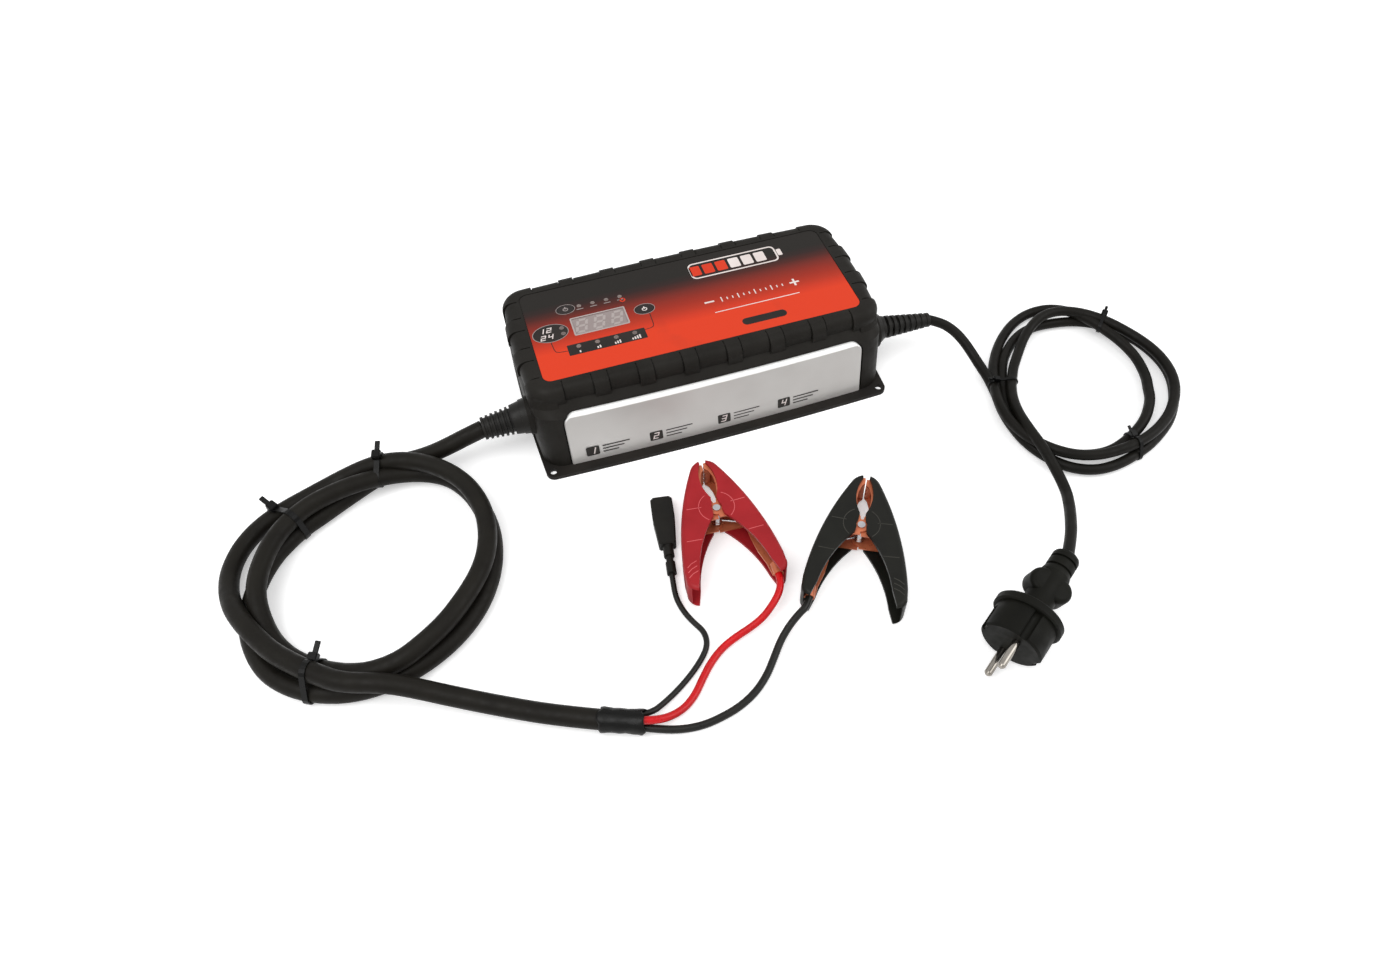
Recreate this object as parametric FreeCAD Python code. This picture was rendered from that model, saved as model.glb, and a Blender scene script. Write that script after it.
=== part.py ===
import FreeCAD, Part
import math
import os

# Battery charger: a long black case with a bumper round its lid, a display and two
# keys, a coiled output lead that ends in two battery clamps and a sensor, and a
# coiled mains lead that ends in a plug.
# Millimetres, +Z up, X along the case. The origin is the centre of the underside.

os.makedirs("parts", exist_ok=True)
V = FreeCAD.Vector
UP = V(0, 0, 1)

# Clearances
slip = 0.1             # between pieces that are slid or pressed together
loose = 0.3            # between pieces that move, or that only stand beside each other
running = 0.06         # radial, on the clamps' pivot pins
merge = 1.0            # by which the pieces of one solid overlap, and cuts run past them

# Case, half sizes at the middle of each side
base_half_x = 127.0
base_half_y = 77.0
base_corner = 6.0
base_thick = 3.0
bow = 2.3              # how far each long side bulges over its length
bow_end = 2.3          # the same for the two ends
wall_step = 0.8        # how far the end walls stand back from the base's ends
foot_ledge = 7.5       # of the base in front of the long walls
waist_lean = 5.0       # how far the long walls lean in up to the waist
shoulder_lean = 9.5    # how far they lean in from there up to the bumper
brow = 2.5             # how far the bumper overhangs them
wall_half_x = base_half_x - wall_step
foot_half_y = base_half_y - foot_ledge
waist_half_y = foot_half_y - waist_lean
shoulder_half_y = waist_half_y - shoulder_lean
wall_corner = 15.0
wall_thick = 2.6
lid_top = 62.0
bumper_high = 10.0
shoulder_high = 8.0
shoulder_z = lid_top - bumper_high
waist_z = shoulder_z - shoulder_high
shoulder_in = 2.0      # how far the ends lean in above the waist
column_foot = 8.0      # how far below the waist the corner columns start
column_rise = 0.5      # how far they run up into the bumper
lid_half_x = base_half_x
lid_half_y = shoulder_half_y + brow
lid_corner = 17.0
lid_thick = 2.6
lid_round = 7.0
inner_round = 4.5
band_proud = 1.5       # how far bands and corners stand out of the bumper
band_drop = 1.8        # how much lower than the bumper they reach
band_pitch = 30.4
band_width = 10.0
end_band_width = 12.0
corner_band_x = 25.6   # length of the proud corners along the long sides
corner_band_y = 18.5
seam_wide = 0.8        # grooves in the bumper along the bands' sides
seam_deep = 0.6
seam_start = 2.0       # from the overlay to the start of the grooves
corner_start_x = lid_half_x - corner_band_x
corner_start_y = lid_half_y - corner_band_y
beyond = 200.0         # well outside the case, for cutting blocks

# Panel in the front and the rear wall
panel_side = 19.3      # from the panel's ends to the end walls
panel_over = 5.7       # from its top to the bumper
panel_half_x = wall_half_x - panel_side
panel_top = shoulder_z - panel_over
panel_round = 9.0
panel_depth = 2.0
plate_side = 1.0       # between the plate's ends and the panel's
plate_over = 0.5       # between their tops
plate_half_x = panel_half_x - plate_side
plate_top = panel_top - plate_over
plate_round = 8.5
plate_proud = 0.6      # how far the plate stands out of the wall beside the panel
plate_edge = 1.2

# Mounting holes and case screws
mount_end = 7.0        # from the holes to the base's ends
mount_side = 7.6       # from the holes to its long sides
mount_x = base_half_x - mount_end
mount_y = base_half_y - mount_side
mount_bore = 5.0
screw_end = 23.0       # from the case screws to the lid's ends
screw_side = 11.5      # from them to its long sides
screw_x = lid_half_x - screw_end
screw_y = lid_half_y - screw_side
screw_size = 3.0
screw_head = 5.6
screw_head_deep = 1.7
boss_radius = 4.2
screw_grip = 9.0
screw_spare = 2.0      # of a screw's hole past its point
slot_share = 0.65      # length of the driver slots, of the heads' diameters

# Lid overlay and what shows through it
overlay_end = 15.2     # between the overlay and the lid's ends
overlay_side = 13.4    # between it and the lid's long sides
overlay_half_x = lid_half_x - overlay_end
overlay_half_y = lid_half_y - overlay_side
overlay_corner = 6.0
overlay_thick = 0.35
overlay_sink = 0.7     # depth of its recess in the lid
display_x = -63.2
display_y = 1.1
display_long = 38.7
display_wide = 17.8
window_thick = 1.6
window_lip = 0.8       # how far the overlay's opening stands back from the window's edge
lower_led_x = -82.6
lower_led_y = -18.1
lower_led_pitch = 13.0
upper_led_x = -73.3
upper_led_y = 20.8
upper_led_pitch = 9.75
volt_led_x = -89.6
volt_led_y = 0.5
volt_led_pitch = 5.8
led_radius = 1.5
led_rim = 0.4
led_foot = 1.2
led_dome = 0.6         # height of the dome, of its radius
mode_key_x = -31.0
mode_key_y = 2.5
menu_key_x = -83.1
menu_key_y = 20.1
key_long = 13.4
key_wide = 9.2
menu_key_scale = 0.9
key_proud = 0.25
key_travel = 0.5
key_collar = 1.0       # how far the collar under the lid stands out of the key
key_collar_thick = 1.2
key_edge = 0.35
key_stem = 2.0

# Boards
board_thick = 1.6
control_drop = 12.0    # from the lid's top down to the board's underside
control_end = 15.0     # from the board to the lid's left end
control_long = 94.0
control_z = lid_top - control_drop
control_x0 = control_end - lid_half_x
control_x1 = control_x0 + control_long
control_half_y = 32.0
post_inset = 5.0
post_radius = 3.2
tact_wide = 6.2
tact_body = 3.5
tact_high = 5.0
tact_plunger = 1.7
small_screw = 2.5
small_head = 2.4       # radius of the board screws' heads
small_head_thick = 1.4
small_grip = 5.4       # of a board screw past its board
slot_wide = 0.8
slot_deep = 0.7
main_z = 9.0
main_end = 9.6         # between the board and the end walls
main_side = 8.9        # between the board and the long walls' feet
main_half_x = wall_half_x - wall_thick - panel_depth - main_end
main_half_y = foot_half_y - wall_thick - panel_depth - main_side
standoff_radius = 4.0
main_screw_in = 24.0   # from the board's ends to its screws
main_screw_x = main_half_x - main_screw_in
screw_hole_spare = 0.5 # of a board screw's hole past its point
through = 2.0          # by which a cut passes a surface

# Glands, on the two ends
gland_side = 27.0      # from the glands' axes to the front wall's waist
gland_y = gland_side - waist_half_y
gland_z = 29.0
pad_radius = 13.4
pad_deep = 3.0         # how far the pad stands into the case
pad_out = 1.2          # how far it stands out of the end wall
pad_x = wall_half_x + pad_out
neck_radius = 9.5
nut_thick = 4.0
neck_spare = 1.5       # of the neck past its nut
nut_across = 22.0
collar_radius = 12.4
collar_long = 4.0
collar_slope = 2.4     # by which the mains side's collar narrows
output_slope = 0.6     # by which the output side's collar narrows
taper_start = 1.0      # of the tapers, inside the collars
taper_in = 0.7         # how far the output taper's root stands inside the neck
rib_bevel = 0.3
output_root = 11.2     # plain cone between the collar and the ribs
output_root_end = 10.2
output_rib_start = 6.0 # from the collar to the first rib
output_rib_count = 6
output_rib_first = 9.8
output_rib_last = 7.9
output_valley_first = 8.2
output_valley_last = 7.0
output_rib_share = 0.59
relief_root = 8.6
relief_shoulder = 8.2
relief_shoulder_long = 3.0
mains_rib_start = 3.2
mains_rib_count = 8
mains_rib_first = 8.0
mains_rib_last = 5.2
mains_valley_first = 6.2
mains_valley_last = 4.7
mains_rib_share = 0.64
relief_slot = 1.4      # width of the slots between the ribs
relief_slot_reach = 6.0
relief_slot_side = 7.0 # from the axis to the middle of a slot
relief_slot_deep = 2.2 # half its depth
bore_share = 0.05      # how far a gland's bore runs past its ends, of its length
lead_pad = 12.0        # square pads that the inner leads end on
inner_lead_share = 0.7 # of the outer lead's diameter
inner_lead_grip = 3.0  # of the inner leads inside the necks
inner_lead_steps = [(8.0, 1.0), (18.0, 7.0), (24.0, 16.0)]

# Output lead, from the left end to the clamps
output_dia = 12.0
output_inlet = [V(-158.0, -38.0, 27.4), V(-169.6, -39.3, 25.2), V(-181.2, -39.4, 21.2),
                V(-192.6, -38.0, 16.4), V(-203.4, -35.8, 12.4), V(-213.6, -33.2, 9.8)]
output_coil_at = V(-250.0, -112.0, 0)
output_coil_outer = 89.0
output_hole_at = V(-240.0, -117.0, 0)
output_hole = 62.0
output_coil_top = 25.5
output_coil_round = 6.0
output_outlet = [V(-257.0, -192.5, 19.6), V(-233.0, -204.8, 17.0), V(-208.0, -218.0, 10.4),
                 V(-182.0, -231.6, 7.2), V(-156.0, -245.6, 7.2), V(-132.0, -256.4, 7.4)]
sleeve_start = V(-133.5, -255.8, 7.5)
sleeve_end = V(-110.6, -265.0, 7.5)
sleeve_radius = 7.4
sleeve_grip = 20.0     # of the output lead in the sleeve
branch_grip = 12.0     # of each branch in it

# Branches from the sleeve
sensor_dia = 3.6
red_dia = 4.6
black_dia = 4.6
sensor_route = [V(-112.4, -260.0, 7.8), V(-105.2, -260.6, 6.8), V(-97.6, -256.6, 4.4),
                V(-88.2, -250.9, 2.3), V(-78.0, -244.1, 1.9), V(-68.4, -236.2, 1.9),
                V(-61.6, -228.2, 2.0), V(-60.4, -218.8, 1.9), V(-65.2, -209.8, 1.9),
                V(-68.6, -200.2, 2.0), V(-69.9, -190.8, 2.6), V(-68.7, -181.2, 3.9),
                V(-66.3, -167.4, 4.5)]
red_route = [V(-113.6, -264.5, 10.7), V(-104.0, -267.0, 9.2), V(-94.3, -265.6, 5.6),
             V(-85.7, -261.9, 3.1), V(-78.1, -256.1, 2.5), V(-71.1, -247.9, 2.5),
             V(-63.3, -239.6, 2.6), V(-54.0, -232.8, 3.0), V(-43.8, -229.0, 4.0),
             V(-34.2, -226.8, 5.6), V(-25.0, -223.9, 8.0), V(-16.9, -218.4, 10.2),
             V(-10.9, -212.6, 11.0), V(-7.3, -206.3, 11.0), V(-6.3, -199.3, 11.0)]
black_route = [V(-114.1, -265.8, 5.1), V(-103.6, -270.4, 4.2), V(-92.0, -273.8, 2.8),
               V(-79.6, -275.2, 2.4), V(-67.4, -273.8, 2.5), V(-55.8, -270.9, 2.4),
               V(-44.7, -265.5, 2.4), V(-35.1, -257.7, 2.5), V(-27.4, -248.8, 3.4),
               V(-20.2, -240.4, 5.4), V(-12.4, -234.2, 8.2), V(-4.8, -229.8, 10.4),
               V(1.2, -226.9, 11.0), V(5.4, -220.9, 11.0)]

# Clamps
clamp_height = 22.0
clamp_skin = 2.0
clamp_round = 3.0      # of the covers' outer edges
red_pivot = V(-28.6, -146.6, 0)
red_turn = -3.7
black_pivot = V(52.6, -188.4, 0)
black_turn = -28.7
copper = 1.1
pin_radius = 1.6
pin_head = 2.4
pin_head_thick = 0.9
notch_radius = 3.4     # room in the covers for the pin's heads
ear_radius = 4.6

# Outline of a clamp's right half, from the pivot, with the tip towards +Y
tip_y = 39.8
handle_x = 31.3
tip = V(2.5, tip_y, 0)
nose = V(6.3, tip_y - 2.1, 0)
cheek = V(9.0, tip_y - 5.5, 0)
bulge = V(24.0, -3.8, 0)
hip = V(handle_x, -42.0, 0)
heel = V(handle_x, -47.5, 0)
heel_turn = V(handle_x - 1.4, -53.4, 0)
handle_tip = V(25.6, -56.2, 0)
palm = V(22.2, -45.5, 0)
palm_turn = V(16.0, -26.0, 0)
crotch = V(3.6, -6.2, 0)
throat = V(1.8, 8.0, 0)
mouth_turn = V(5.3, 22.0, 0)
mouth_end = V(2.0, tip_y - 3.3, 0)
inside_low = -90.0     # the hollow's two far corners, outside the covers
inside_back = -15.0
rib_start = -27.0      # grooves in the handles' outer sides
rib_pitch = 3.4
rib_count = 6
rib_wide = 1.4
rib_deep = 0.7
rib_side = 4.0         # from the grooves' ends to the covers' faces

# Its copper jaw, with the last three points outside the covers
jaw_face = 0.4         # half the gap between the teeth
jaw_far = 50.0
jaw_out = 40.0
jaw_low = -7.0
jaw_plan = [(jaw_face, jaw_far), (jaw_face, 33.5), (2.4, 31.0), (4.0, 26.0), (4.5, 20.0), (3.6, 13.0),
            (1.2, 7.0), (0.3, 3.0), (0.3, jaw_low), (jaw_out, jaw_low), (jaw_out, jaw_far)]
lip_start = 33.0       # folded end that carries the teeth
lip_deep = 3.6
tooth_count = 4
tooth_deep = 1.6
tooth_half = 1.4
strip_plan = [(16.0, -4.0), (17.0, -20.0), (18.6, -31.0), (21.4, -41.0), (22.6, -50.0), (jaw_out, -50.0),
              (jaw_out, -4.0)]
strip_z = 7.0          # underside of the strip that carries the lead's crimp
crimp_y = -52.0        # the crimp's end
crimp_wall = 0.5
crimp_long = 8.0
crimp_set = 0.4        # how far the crimp stands back from the strip's outer side
mouth_room = 0.6       # round a lead where it passes into a handle
spring_wire = 1.5
spring_inner = 2.0
spring_turns = 7
spring_groove = 0.4    # depth of the grooves between its turns
spring_room = 0.6      # between it and the jaws' ears
spring_leg = V(13.0, -5.0, 0)
spring_stub = V(-6.0, -4.0, 0)

# Sensor
probe_tip = V(-57.9, -117.6, 4.5)
probe_tail = V(-64.1, -154.6, 4.5)
probe_thick = 9.0
probe_wide = 14.4
probe_narrow = 11.0
probe_corner = 2.0
probe_belly = 0.45     # where its sides begin to taper, of its length
probe_bevel = 0.8
probe_neck = 7.8
probe_neck_radius = 3.4
probe_stem = 4.4
probe_stem_radius = 2.3
ferrule_long = 8.4
ferrule_radius = 3.1

# Mains lead and plug, from the right end
mains_dia = 7.2
mains_inlet = [V(169.4, -40.2, 27.4), V(177.9, -44.0, 25.4), V(184.9, -50.3, 22.0),
               V(190.0, -58.8, 17.4), V(193.0, -68.8, 12.5), V(194.6, -80.2, 9.0),
               V(195.2, -90.2, 7.9)]
mains_coil_at = V(257.0, -114.0, 0)
mains_coil_long = 87.0
mains_coil_wide = 67.0
mains_coil_turn = 62.0
mains_hole_at = V(253.5, -118.5, 0)
mains_hole_long = 62.0
mains_hole_wide = 45.0
mains_coil_top = 18.5
mains_coil_round = 4.0
plug_face = V(98.6, -291.8, 18.8)
plug_back = V(156.8, -252.6, 26.8)
mains_outlet = [V(198.7, -150.0, 9.0), V(199.4, -165.6, 8.0), V(198.3, -181.7, 7.6),
                V(193.7, -197.0, 9.5), V(186.2, -212.0, 14.0), V(177.0, -226.4, 19.6),
                V(167.2, -240.2, 24.6), V(156.8, -252.6, 26.8)]
plug_radius = 18.5
plug_rim = 20.8
plug_neck = 8.2
plug_lobe = 8.0        # radius of the two finger lobes of the grip
plug_lobe_x = 26.5
plug_lobe_y = 5.2
plug_grip = 9.0
plug_rings = (5.6, 12.0)
plug_ring_wide = 1.4
plug_ring_deep = 1.2
plug_pin_set = 4.8     # how far the pins go into the body
pin_spacing = 19.0
plug_pin_dia = 4.8
plug_pin_long = 19.0
plug_pin_root = 2.0    # radius of the pins' narrower root in the body
plug_pin_gap = 0.4     # from the face to where the full diameter starts
plug_pin_tip = 1.6     # length of the rounded tip
plug_roll = 6.0        # turn of the plug about its own axis
plug_long = (plug_face - plug_back).Length
rim_x = plug_long - 23.5
rim_thick = 4.0
earth_wide = 6.0
earth_long = 15.0
earth_deep = 2.4
groove_wide = 5.4
groove_out = 0.4       # how far its axis stands outside the plug's side
plug_tail = [(0, 2.2), (1.4, 0.6), (3.0, 0)]    # how much slimmer than the neck, along its end
plug_slope = 0.2       # of the rings' sides
plug_swell = 4.8       # from the last ring to the full grip
plug_flare = [(7.0, 0), (1.5, 2.5)]             # before the rim: distance, and rise over the grip
plug_rim_bevel = 0.8
plug_edge = 1.2        # bevel round the face
plug_lobe_round = 3.0
earth_thick = 0.8
earth_set = 0.6        # how far the contacts stand back from the face

# Cable ties
tie_wide = 3.6
tie_thick = 1.2
tie_gap = 0.25
tie_round = 4.0        # of the strap's outer corners
tie_head_long = 5.0
tie_head_high = 4.6
tie_head_wide = 5.0
tie_head_in = 11.0     # from the coil's outer side to the head
tie_tail_high = 14.0
tie_tail_thick = 1.0
output_tie_turns = [75.0, 129.0, 243.0]
mains_tie_turns = [166.0, 46.0, 270.0]
coil_bottom = tie_thick + 2 * tie_gap

# Parts on the main board
board_top = main_z + board_thick
core_foot = 3.0        # room for the winding's pins under the core
core_gap = 44.0        # from the core to the large capacitor
core_y = 4.0
core_long = 46.0
core_deep = 18.0
core_high = 36.0
core_leg = 14.0
core_side = 7.0
winding_round = 0.8    # of the winding's corners, of its build-up
flange_proud = 1.0
flange_round = 2.0
flange_thick = 1.2
winding_foot = 4.0
winding_foot_in = 2.0
capacitor_end = 34.0   # from the large capacitor to the board's end
capacitor_x = main_half_x - capacitor_end
core_x = capacitor_x - core_gap
capacitor_y = 16.0
capacitor_radius = 13.0
capacitor_high = 34.0
small_cap_x = -38.0
small_cap_radius = 6.5
small_cap_high = 27.0
can_round = 0.6
can_waist_z = 3.8      # ring rolled into a capacitor's can
can_waist_half = 0.8
can_waist_deep = 0.8
sink_x = -14.0
sink_side = 18.0       # from the heatsink's face to the board's rear edge
sink_y = main_half_y - sink_side
sink_long = 84.0
sink_high = 30.0
sink_thick = 3.2
fin_deep = 11.0
fin_thick = 1.6
fin_pitch = 7.0
fuse_end = 24.0        # from the fuse to the board's end
fuse_x = main_half_x - fuse_end
fuse_y = -24.0
ribbon_x = -62.0
ribbon_y = -24.0
ribbon_long = 26.0
ribbon_plug_wide = 5.0
ribbon_plug_high = 8.0
ribbon_thick = 1.0
ribbon_margin = 2.0    # of the plugs beside the cable
ribbon_grip = 1.0      # of the cable in the plugs
fuse_long = 20.0
fuse_radius = 2.5
fuse_cap = 0.3         # how far the end caps stand out of the glass
fuse_cap_long = 5.0
fuse_rise = 4.5
fuse_clip_long = 3.0
fuse_clip_wide = 6.5
transistor_spots = (-42.0, -20.0, 2.0, 16.0)
transistor_wide = 10.0
transistor_thick = 4.6
transistor_foot = 5.0
transistor_body = 10.0
transistor_tab = 6.0
tab_thick = 1.3
tab_hole = 1.6
leg_wide = 1.0
leg_pitch = 2.5
small_cap_spread = 8.0


def box(x0, y0, z0, x1, y1, z1):
    return Part.makeBox(x1 - x0, y1 - y0, z1 - z0, V(x0, y0, z0))


def rod(start, along, radius):
    return Part.makeCylinder(radius, along.Length, start, along)


def centred(x, y, z, long, wide, high):
    return box(x - long / 2, y - wide / 2, z, x + long / 2, y + wide / 2, z + high)


def line(a, b):
    return Part.LineSegment(a, b).toShape()


def arc(a, b, c):
    return Part.Arc(a, b, c).toShape()


def plate(edges, height):
    return Part.Face(Part.Wire(edges)).extrude(UP * height)


def polygon(points, z0, z1):
    rim = [V(x, y, z0) for x, y in points]
    return Part.Face(Part.makePolygon(rim + rim[:1])).extrude(UP * (z1 - z0))


def joined(shapes):
    return shapes[0].multiFuse(shapes[1:]).removeSplitter()


def placed(shape, at, turn):
    result = shape.copy()
    result.Placement = FreeCAD.Placement(at, FreeCAD.Rotation(UP, turn)).multiply(result.Placement)
    return result


def aimed(shape, at, along, roll=0.0):
    # Turns a shape built along +X so that it points along the given direction.
    turn = FreeCAD.Rotation(V(1, 0, 0), along)
    spin = FreeCAD.Rotation(V(1, 0, 0), roll)
    result = shape.copy()
    result.Placement = FreeCAD.Placement(at, turn.multiply(spin)).multiply(result.Placement)
    return result


def turned(profile):
    # Solid of revolution about X from (x, radius) pairs.
    rim = [V(x, r, 0) for x, r in profile]
    rim = [V(profile[0][0], 0, 0)] + rim + [V(profile[-1][0], 0, 0)]
    return Part.Face(Part.makePolygon(rim + rim[:1])).revolve(V(0, 0, 0), V(1, 0, 0), 360)


def barrel(half_x, half_y, corner, z, inset=0.0):
    # Closed outline with bowed sides and corners tangent to them.
    chord_x = half_x - corner
    chord_y = half_y - corner
    long_radius = (chord_x ** 2 + bow ** 2) / (2 * bow)
    end_radius = (chord_y ** 2 + bow_end ** 2) / (2 * bow_end)
    long_centre = V(0, long_radius - half_y, 0)
    end_centre = V(half_x - end_radius, 0, 0)
    reach_a = long_radius - corner
    reach_b = end_radius - corner
    gap = end_centre - long_centre
    span = gap.Length
    step = (reach_a ** 2 - reach_b ** 2 + span ** 2) / (2 * span)
    rise = math.sqrt(reach_a ** 2 - step ** 2)
    unit = gap / span
    across = V(-unit.y, unit.x, 0)
    spots = [long_centre + unit * step + across * rise, long_centre + unit * step - across * rise]
    middle = max(spots, key=lambda spot: spot.x - spot.y)
    front = (middle - long_centre).normalize()
    side = (middle - end_centre).normalize()
    end_front = long_centre + front * (long_radius - inset)
    end_side = end_centre + side * (end_radius - inset)
    corner_mid = middle + (front + side).normalize() * (corner - inset)

    def at(x, y):
        return V(x, y, z)

    fx, fy = end_front.x, end_front.y
    sx, sy = end_side.x, end_side.y
    cx, cy = corner_mid.x, corner_mid.y
    mid_x = half_x - inset
    mid_y = half_y - inset
    edges = [arc(at(-fx, fy), at(0, -mid_y), at(fx, fy)), arc(at(fx, fy), at(cx, cy), at(sx, sy)),
             arc(at(sx, sy), at(mid_x, 0), at(sx, -sy)), arc(at(sx, -sy), at(cx, -cy), at(fx, -fy)),
             arc(at(fx, -fy), at(0, mid_y), at(-fx, -fy)),
             arc(at(-fx, -fy), at(-cx, -cy), at(-sx, -sy)),
             arc(at(-sx, -sy), at(-mid_x, 0), at(-sx, sy)),
             arc(at(-sx, sy), at(-cx, cy), at(-fx, fy))]
    return Part.Wire(edges)


def barrel_block(half_x, half_y, corner, z0, z1, inset=0.0):
    return Part.Face(barrel(half_x, half_y, corner, z0, inset)).extrude(UP * (z1 - z0))


def rounded_top(block, z, radius):
    edges = [e for e in block.Edges if abs(e.BoundBox.ZMin - z) < 1e-6 and e.BoundBox.ZLength < 1e-6]
    return block.makeFillet(radius, edges)


def lofted(wires):
    return Part.makeLoft(wires, True, True)


def arch(half, top, corner, z0, y0, y1):
    # Door-shaped block through a long wall: square foot, round shoulders.
    c = corner * (1 - math.sqrt(0.5))
    edges = [line(V(-half, y0, z0), V(half, y0, z0)), line(V(half, y0, z0), V(half, y0, top - corner)),
             arc(V(half, y0, top - corner), V(half - c, y0, top - c), V(half - corner, y0, top)),
             line(V(half - corner, y0, top), V(corner - half, y0, top)),
             arc(V(corner - half, y0, top), V(c - half, y0, top - c), V(-half, y0, top - corner)),
             line(V(-half, y0, top - corner), V(-half, y0, z0))]
    return Part.Face(Part.Wire(edges)).extrude(V(0, y1 - y0, 0))


def rounded_plate(half_x, half_y, corner, z0, z1):
    c = corner * (1 - math.sqrt(0.5))
    x, y = half_x, half_y
    edges = [line(V(corner - x, -y, z0), V(x - corner, -y, z0)),
             arc(V(x - corner, -y, z0), V(x - c, c - y, z0), V(x, corner - y, z0)),
             line(V(x, corner - y, z0), V(x, y - corner, z0)),
             arc(V(x, y - corner, z0), V(x - c, y - c, z0), V(x - corner, y, z0)),
             line(V(x - corner, y, z0), V(corner - x, y, z0)),
             arc(V(corner - x, y, z0), V(c - x, y - c, z0), V(-x, y - corner, z0)),
             line(V(-x, y - corner, z0), V(-x, corner - y, z0)),
             arc(V(-x, corner - y, z0), V(c - x, c - y, z0), V(corner - x, -y, z0))]
    return plate(edges, z1 - z0)


def ellipse_block(long, wide, z0, z1):
    ring = Part.Ellipse(V(0, 0, z0), long, wide).toShape()
    return Part.Face(Part.Wire([ring])).extrude(UP * (z1 - z0))


# Cords

def cord_path(points, name):
    # Straight runs joined by tangent arcs.
    edges = []
    radii = []
    here = points[0]
    for before, at, after in zip(points, points[1:], points[2:]):
        inward = at - before
        outward = after - at
        turn = inward.getAngle(outward)
        trim = 0.45 * min(inward.Length, outward.Length)
        radii.append(trim / math.tan(turn / 2))
        start = at - inward.normalize() * trim
        end = at + outward.normalize() * trim
        bisector = ((start + end) * 0.5 - at).normalize()
        depth = radii[-1] / math.cos(turn / 2) - radii[-1]
        edges.append(line(here, start))
        edges.append(arc(start, at + bisector * depth, end))
        here = end
    edges.append(line(here, points[-1]))
    wire = Part.Wire(edges)
    print(name, "length", round(wire.Length, 1), "radii", [round(r, 1) for r in radii])
    return wire


def cord_tube(points, diameter, name):
    path = cord_path(points, name)
    ring = Part.Circle(points[0], points[1] - points[0], diameter / 2).toShape()
    solid = path.makePipeShell([Part.Wire([ring])], True, False)
    section = math.pi * diameter ** 2 / 4
    print(name, "volume over section times length", round(solid.Volume / (section * path.Length), 4))
    return solid


def output_coil():
    outer = Part.makeCylinder(output_coil_outer, output_coil_top - coil_bottom,
                              output_coil_at + UP * coil_bottom)
    hole = Part.makeCylinder(output_hole, output_coil_top, output_hole_at)
    return soft_edges(outer.cut(hole), output_coil_round)


def mains_coil():
    outer = ellipse_block(mains_coil_long, mains_coil_wide, coil_bottom, mains_coil_top)
    hole = ellipse_block(mains_hole_long, mains_hole_wide, 0, mains_coil_top + 1)
    outer = placed(outer, mains_coil_at, mains_coil_turn)
    hole = placed(hole, mains_hole_at, mains_coil_turn)
    return soft_edges(outer.cut(hole), mains_coil_round)


def soft_edges(ring, radius):
    edges = [e for e in ring.Edges if e.BoundBox.ZLength < 1e-3 and e.Length > 100]
    return ring.makeFillet(radius, edges)


def reach(centre, long, wide, turn, origin, angle):
    # Distance from the origin point to an ellipse, along an angle.
    a = math.radians(turn)
    d = math.radians(angle)
    ox = (origin.x - centre.x) * math.cos(a) + (origin.y - centre.y) * math.sin(a)
    oy = (origin.y - centre.y) * math.cos(a) - (origin.x - centre.x) * math.sin(a)
    dx = math.cos(d - a)
    dy = math.sin(d - a)
    p = (dx / long) ** 2 + (dy / wide) ** 2
    q = ox * dx / long ** 2 + oy * dy / wide ** 2
    s = (ox / long) ** 2 + (oy / wide) ** 2 - 1
    return (-q + math.sqrt(q ** 2 - p * s)) / p


def cable_tie(origin, angle, inner, outer, top):
    # Strap round the band of a coil, with its head on the outer side and its tail.
    low = coil_bottom - tie_gap - tie_thick
    high = top + tie_gap
    near = inner - tie_gap
    far = outer + tie_gap
    half = tie_wide / 2
    strap = box(near - tie_thick, -half, low, far + tie_thick, half, high + tie_thick)
    rim = [e for e in strap.Edges if e.BoundBox.YLength > tie_wide * 0.9]
    strap = strap.makeFillet(tie_round, rim)
    hollow = box(near, -half - through, low + tie_thick, far, half + through, high)
    rim = [e for e in hollow.Edges if e.BoundBox.YLength > tie_wide]
    hollow = hollow.makeFillet(tie_round - tie_thick, rim)
    head_x = far - tie_head_in
    head = box(head_x, -tie_head_wide / 2, high, head_x + tie_head_long, tie_head_wide / 2,
               high + tie_head_high)
    tail_x = head_x + (tie_head_long - tie_tail_thick) / 2
    tail = box(tail_x, -half, high, tail_x + tie_tail_thick, half, high + tie_tail_high)
    tie = joined([strap.cut(hollow), head, tail])
    return placed(tie, V(origin.x, origin.y, 0), angle)


# Case

def base_plate():
    body = barrel_block(base_half_x, base_half_y, base_corner, 0, base_thick)
    adds = [body]
    for x in (-main_screw_x, main_screw_x):
        for y in (-screw_y, screw_y):
            adds.append(rod(V(x, y, 0), UP * main_z, standoff_radius))
    body = joined(adds)
    for x in (-mount_x, mount_x):
        for y in (-mount_y, mount_y):
            body = body.cut(rod(V(x, y, -through), UP * (base_thick + 2 * through), mount_bore / 2))
    for x in (-screw_x, screw_x):
        for y in (-screw_y, screw_y):
            body = body.cut(rod(V(x, y, -through), UP * (base_thick + 2 * through), screw_size / 2 + slip))
            sink = Part.makeCone(screw_head / 2 + slip, screw_size / 2 + slip, screw_head_deep, V(x, y, 0))
            body = body.cut(sink)
    for x in (-main_screw_x, main_screw_x):
        for y in (-screw_y, screw_y):
            hole_z = main_z - small_grip - screw_hole_spare
            body = body.cut(rod(V(x, y, hole_z), UP * main_z, small_screw / 2))
    return body


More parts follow.
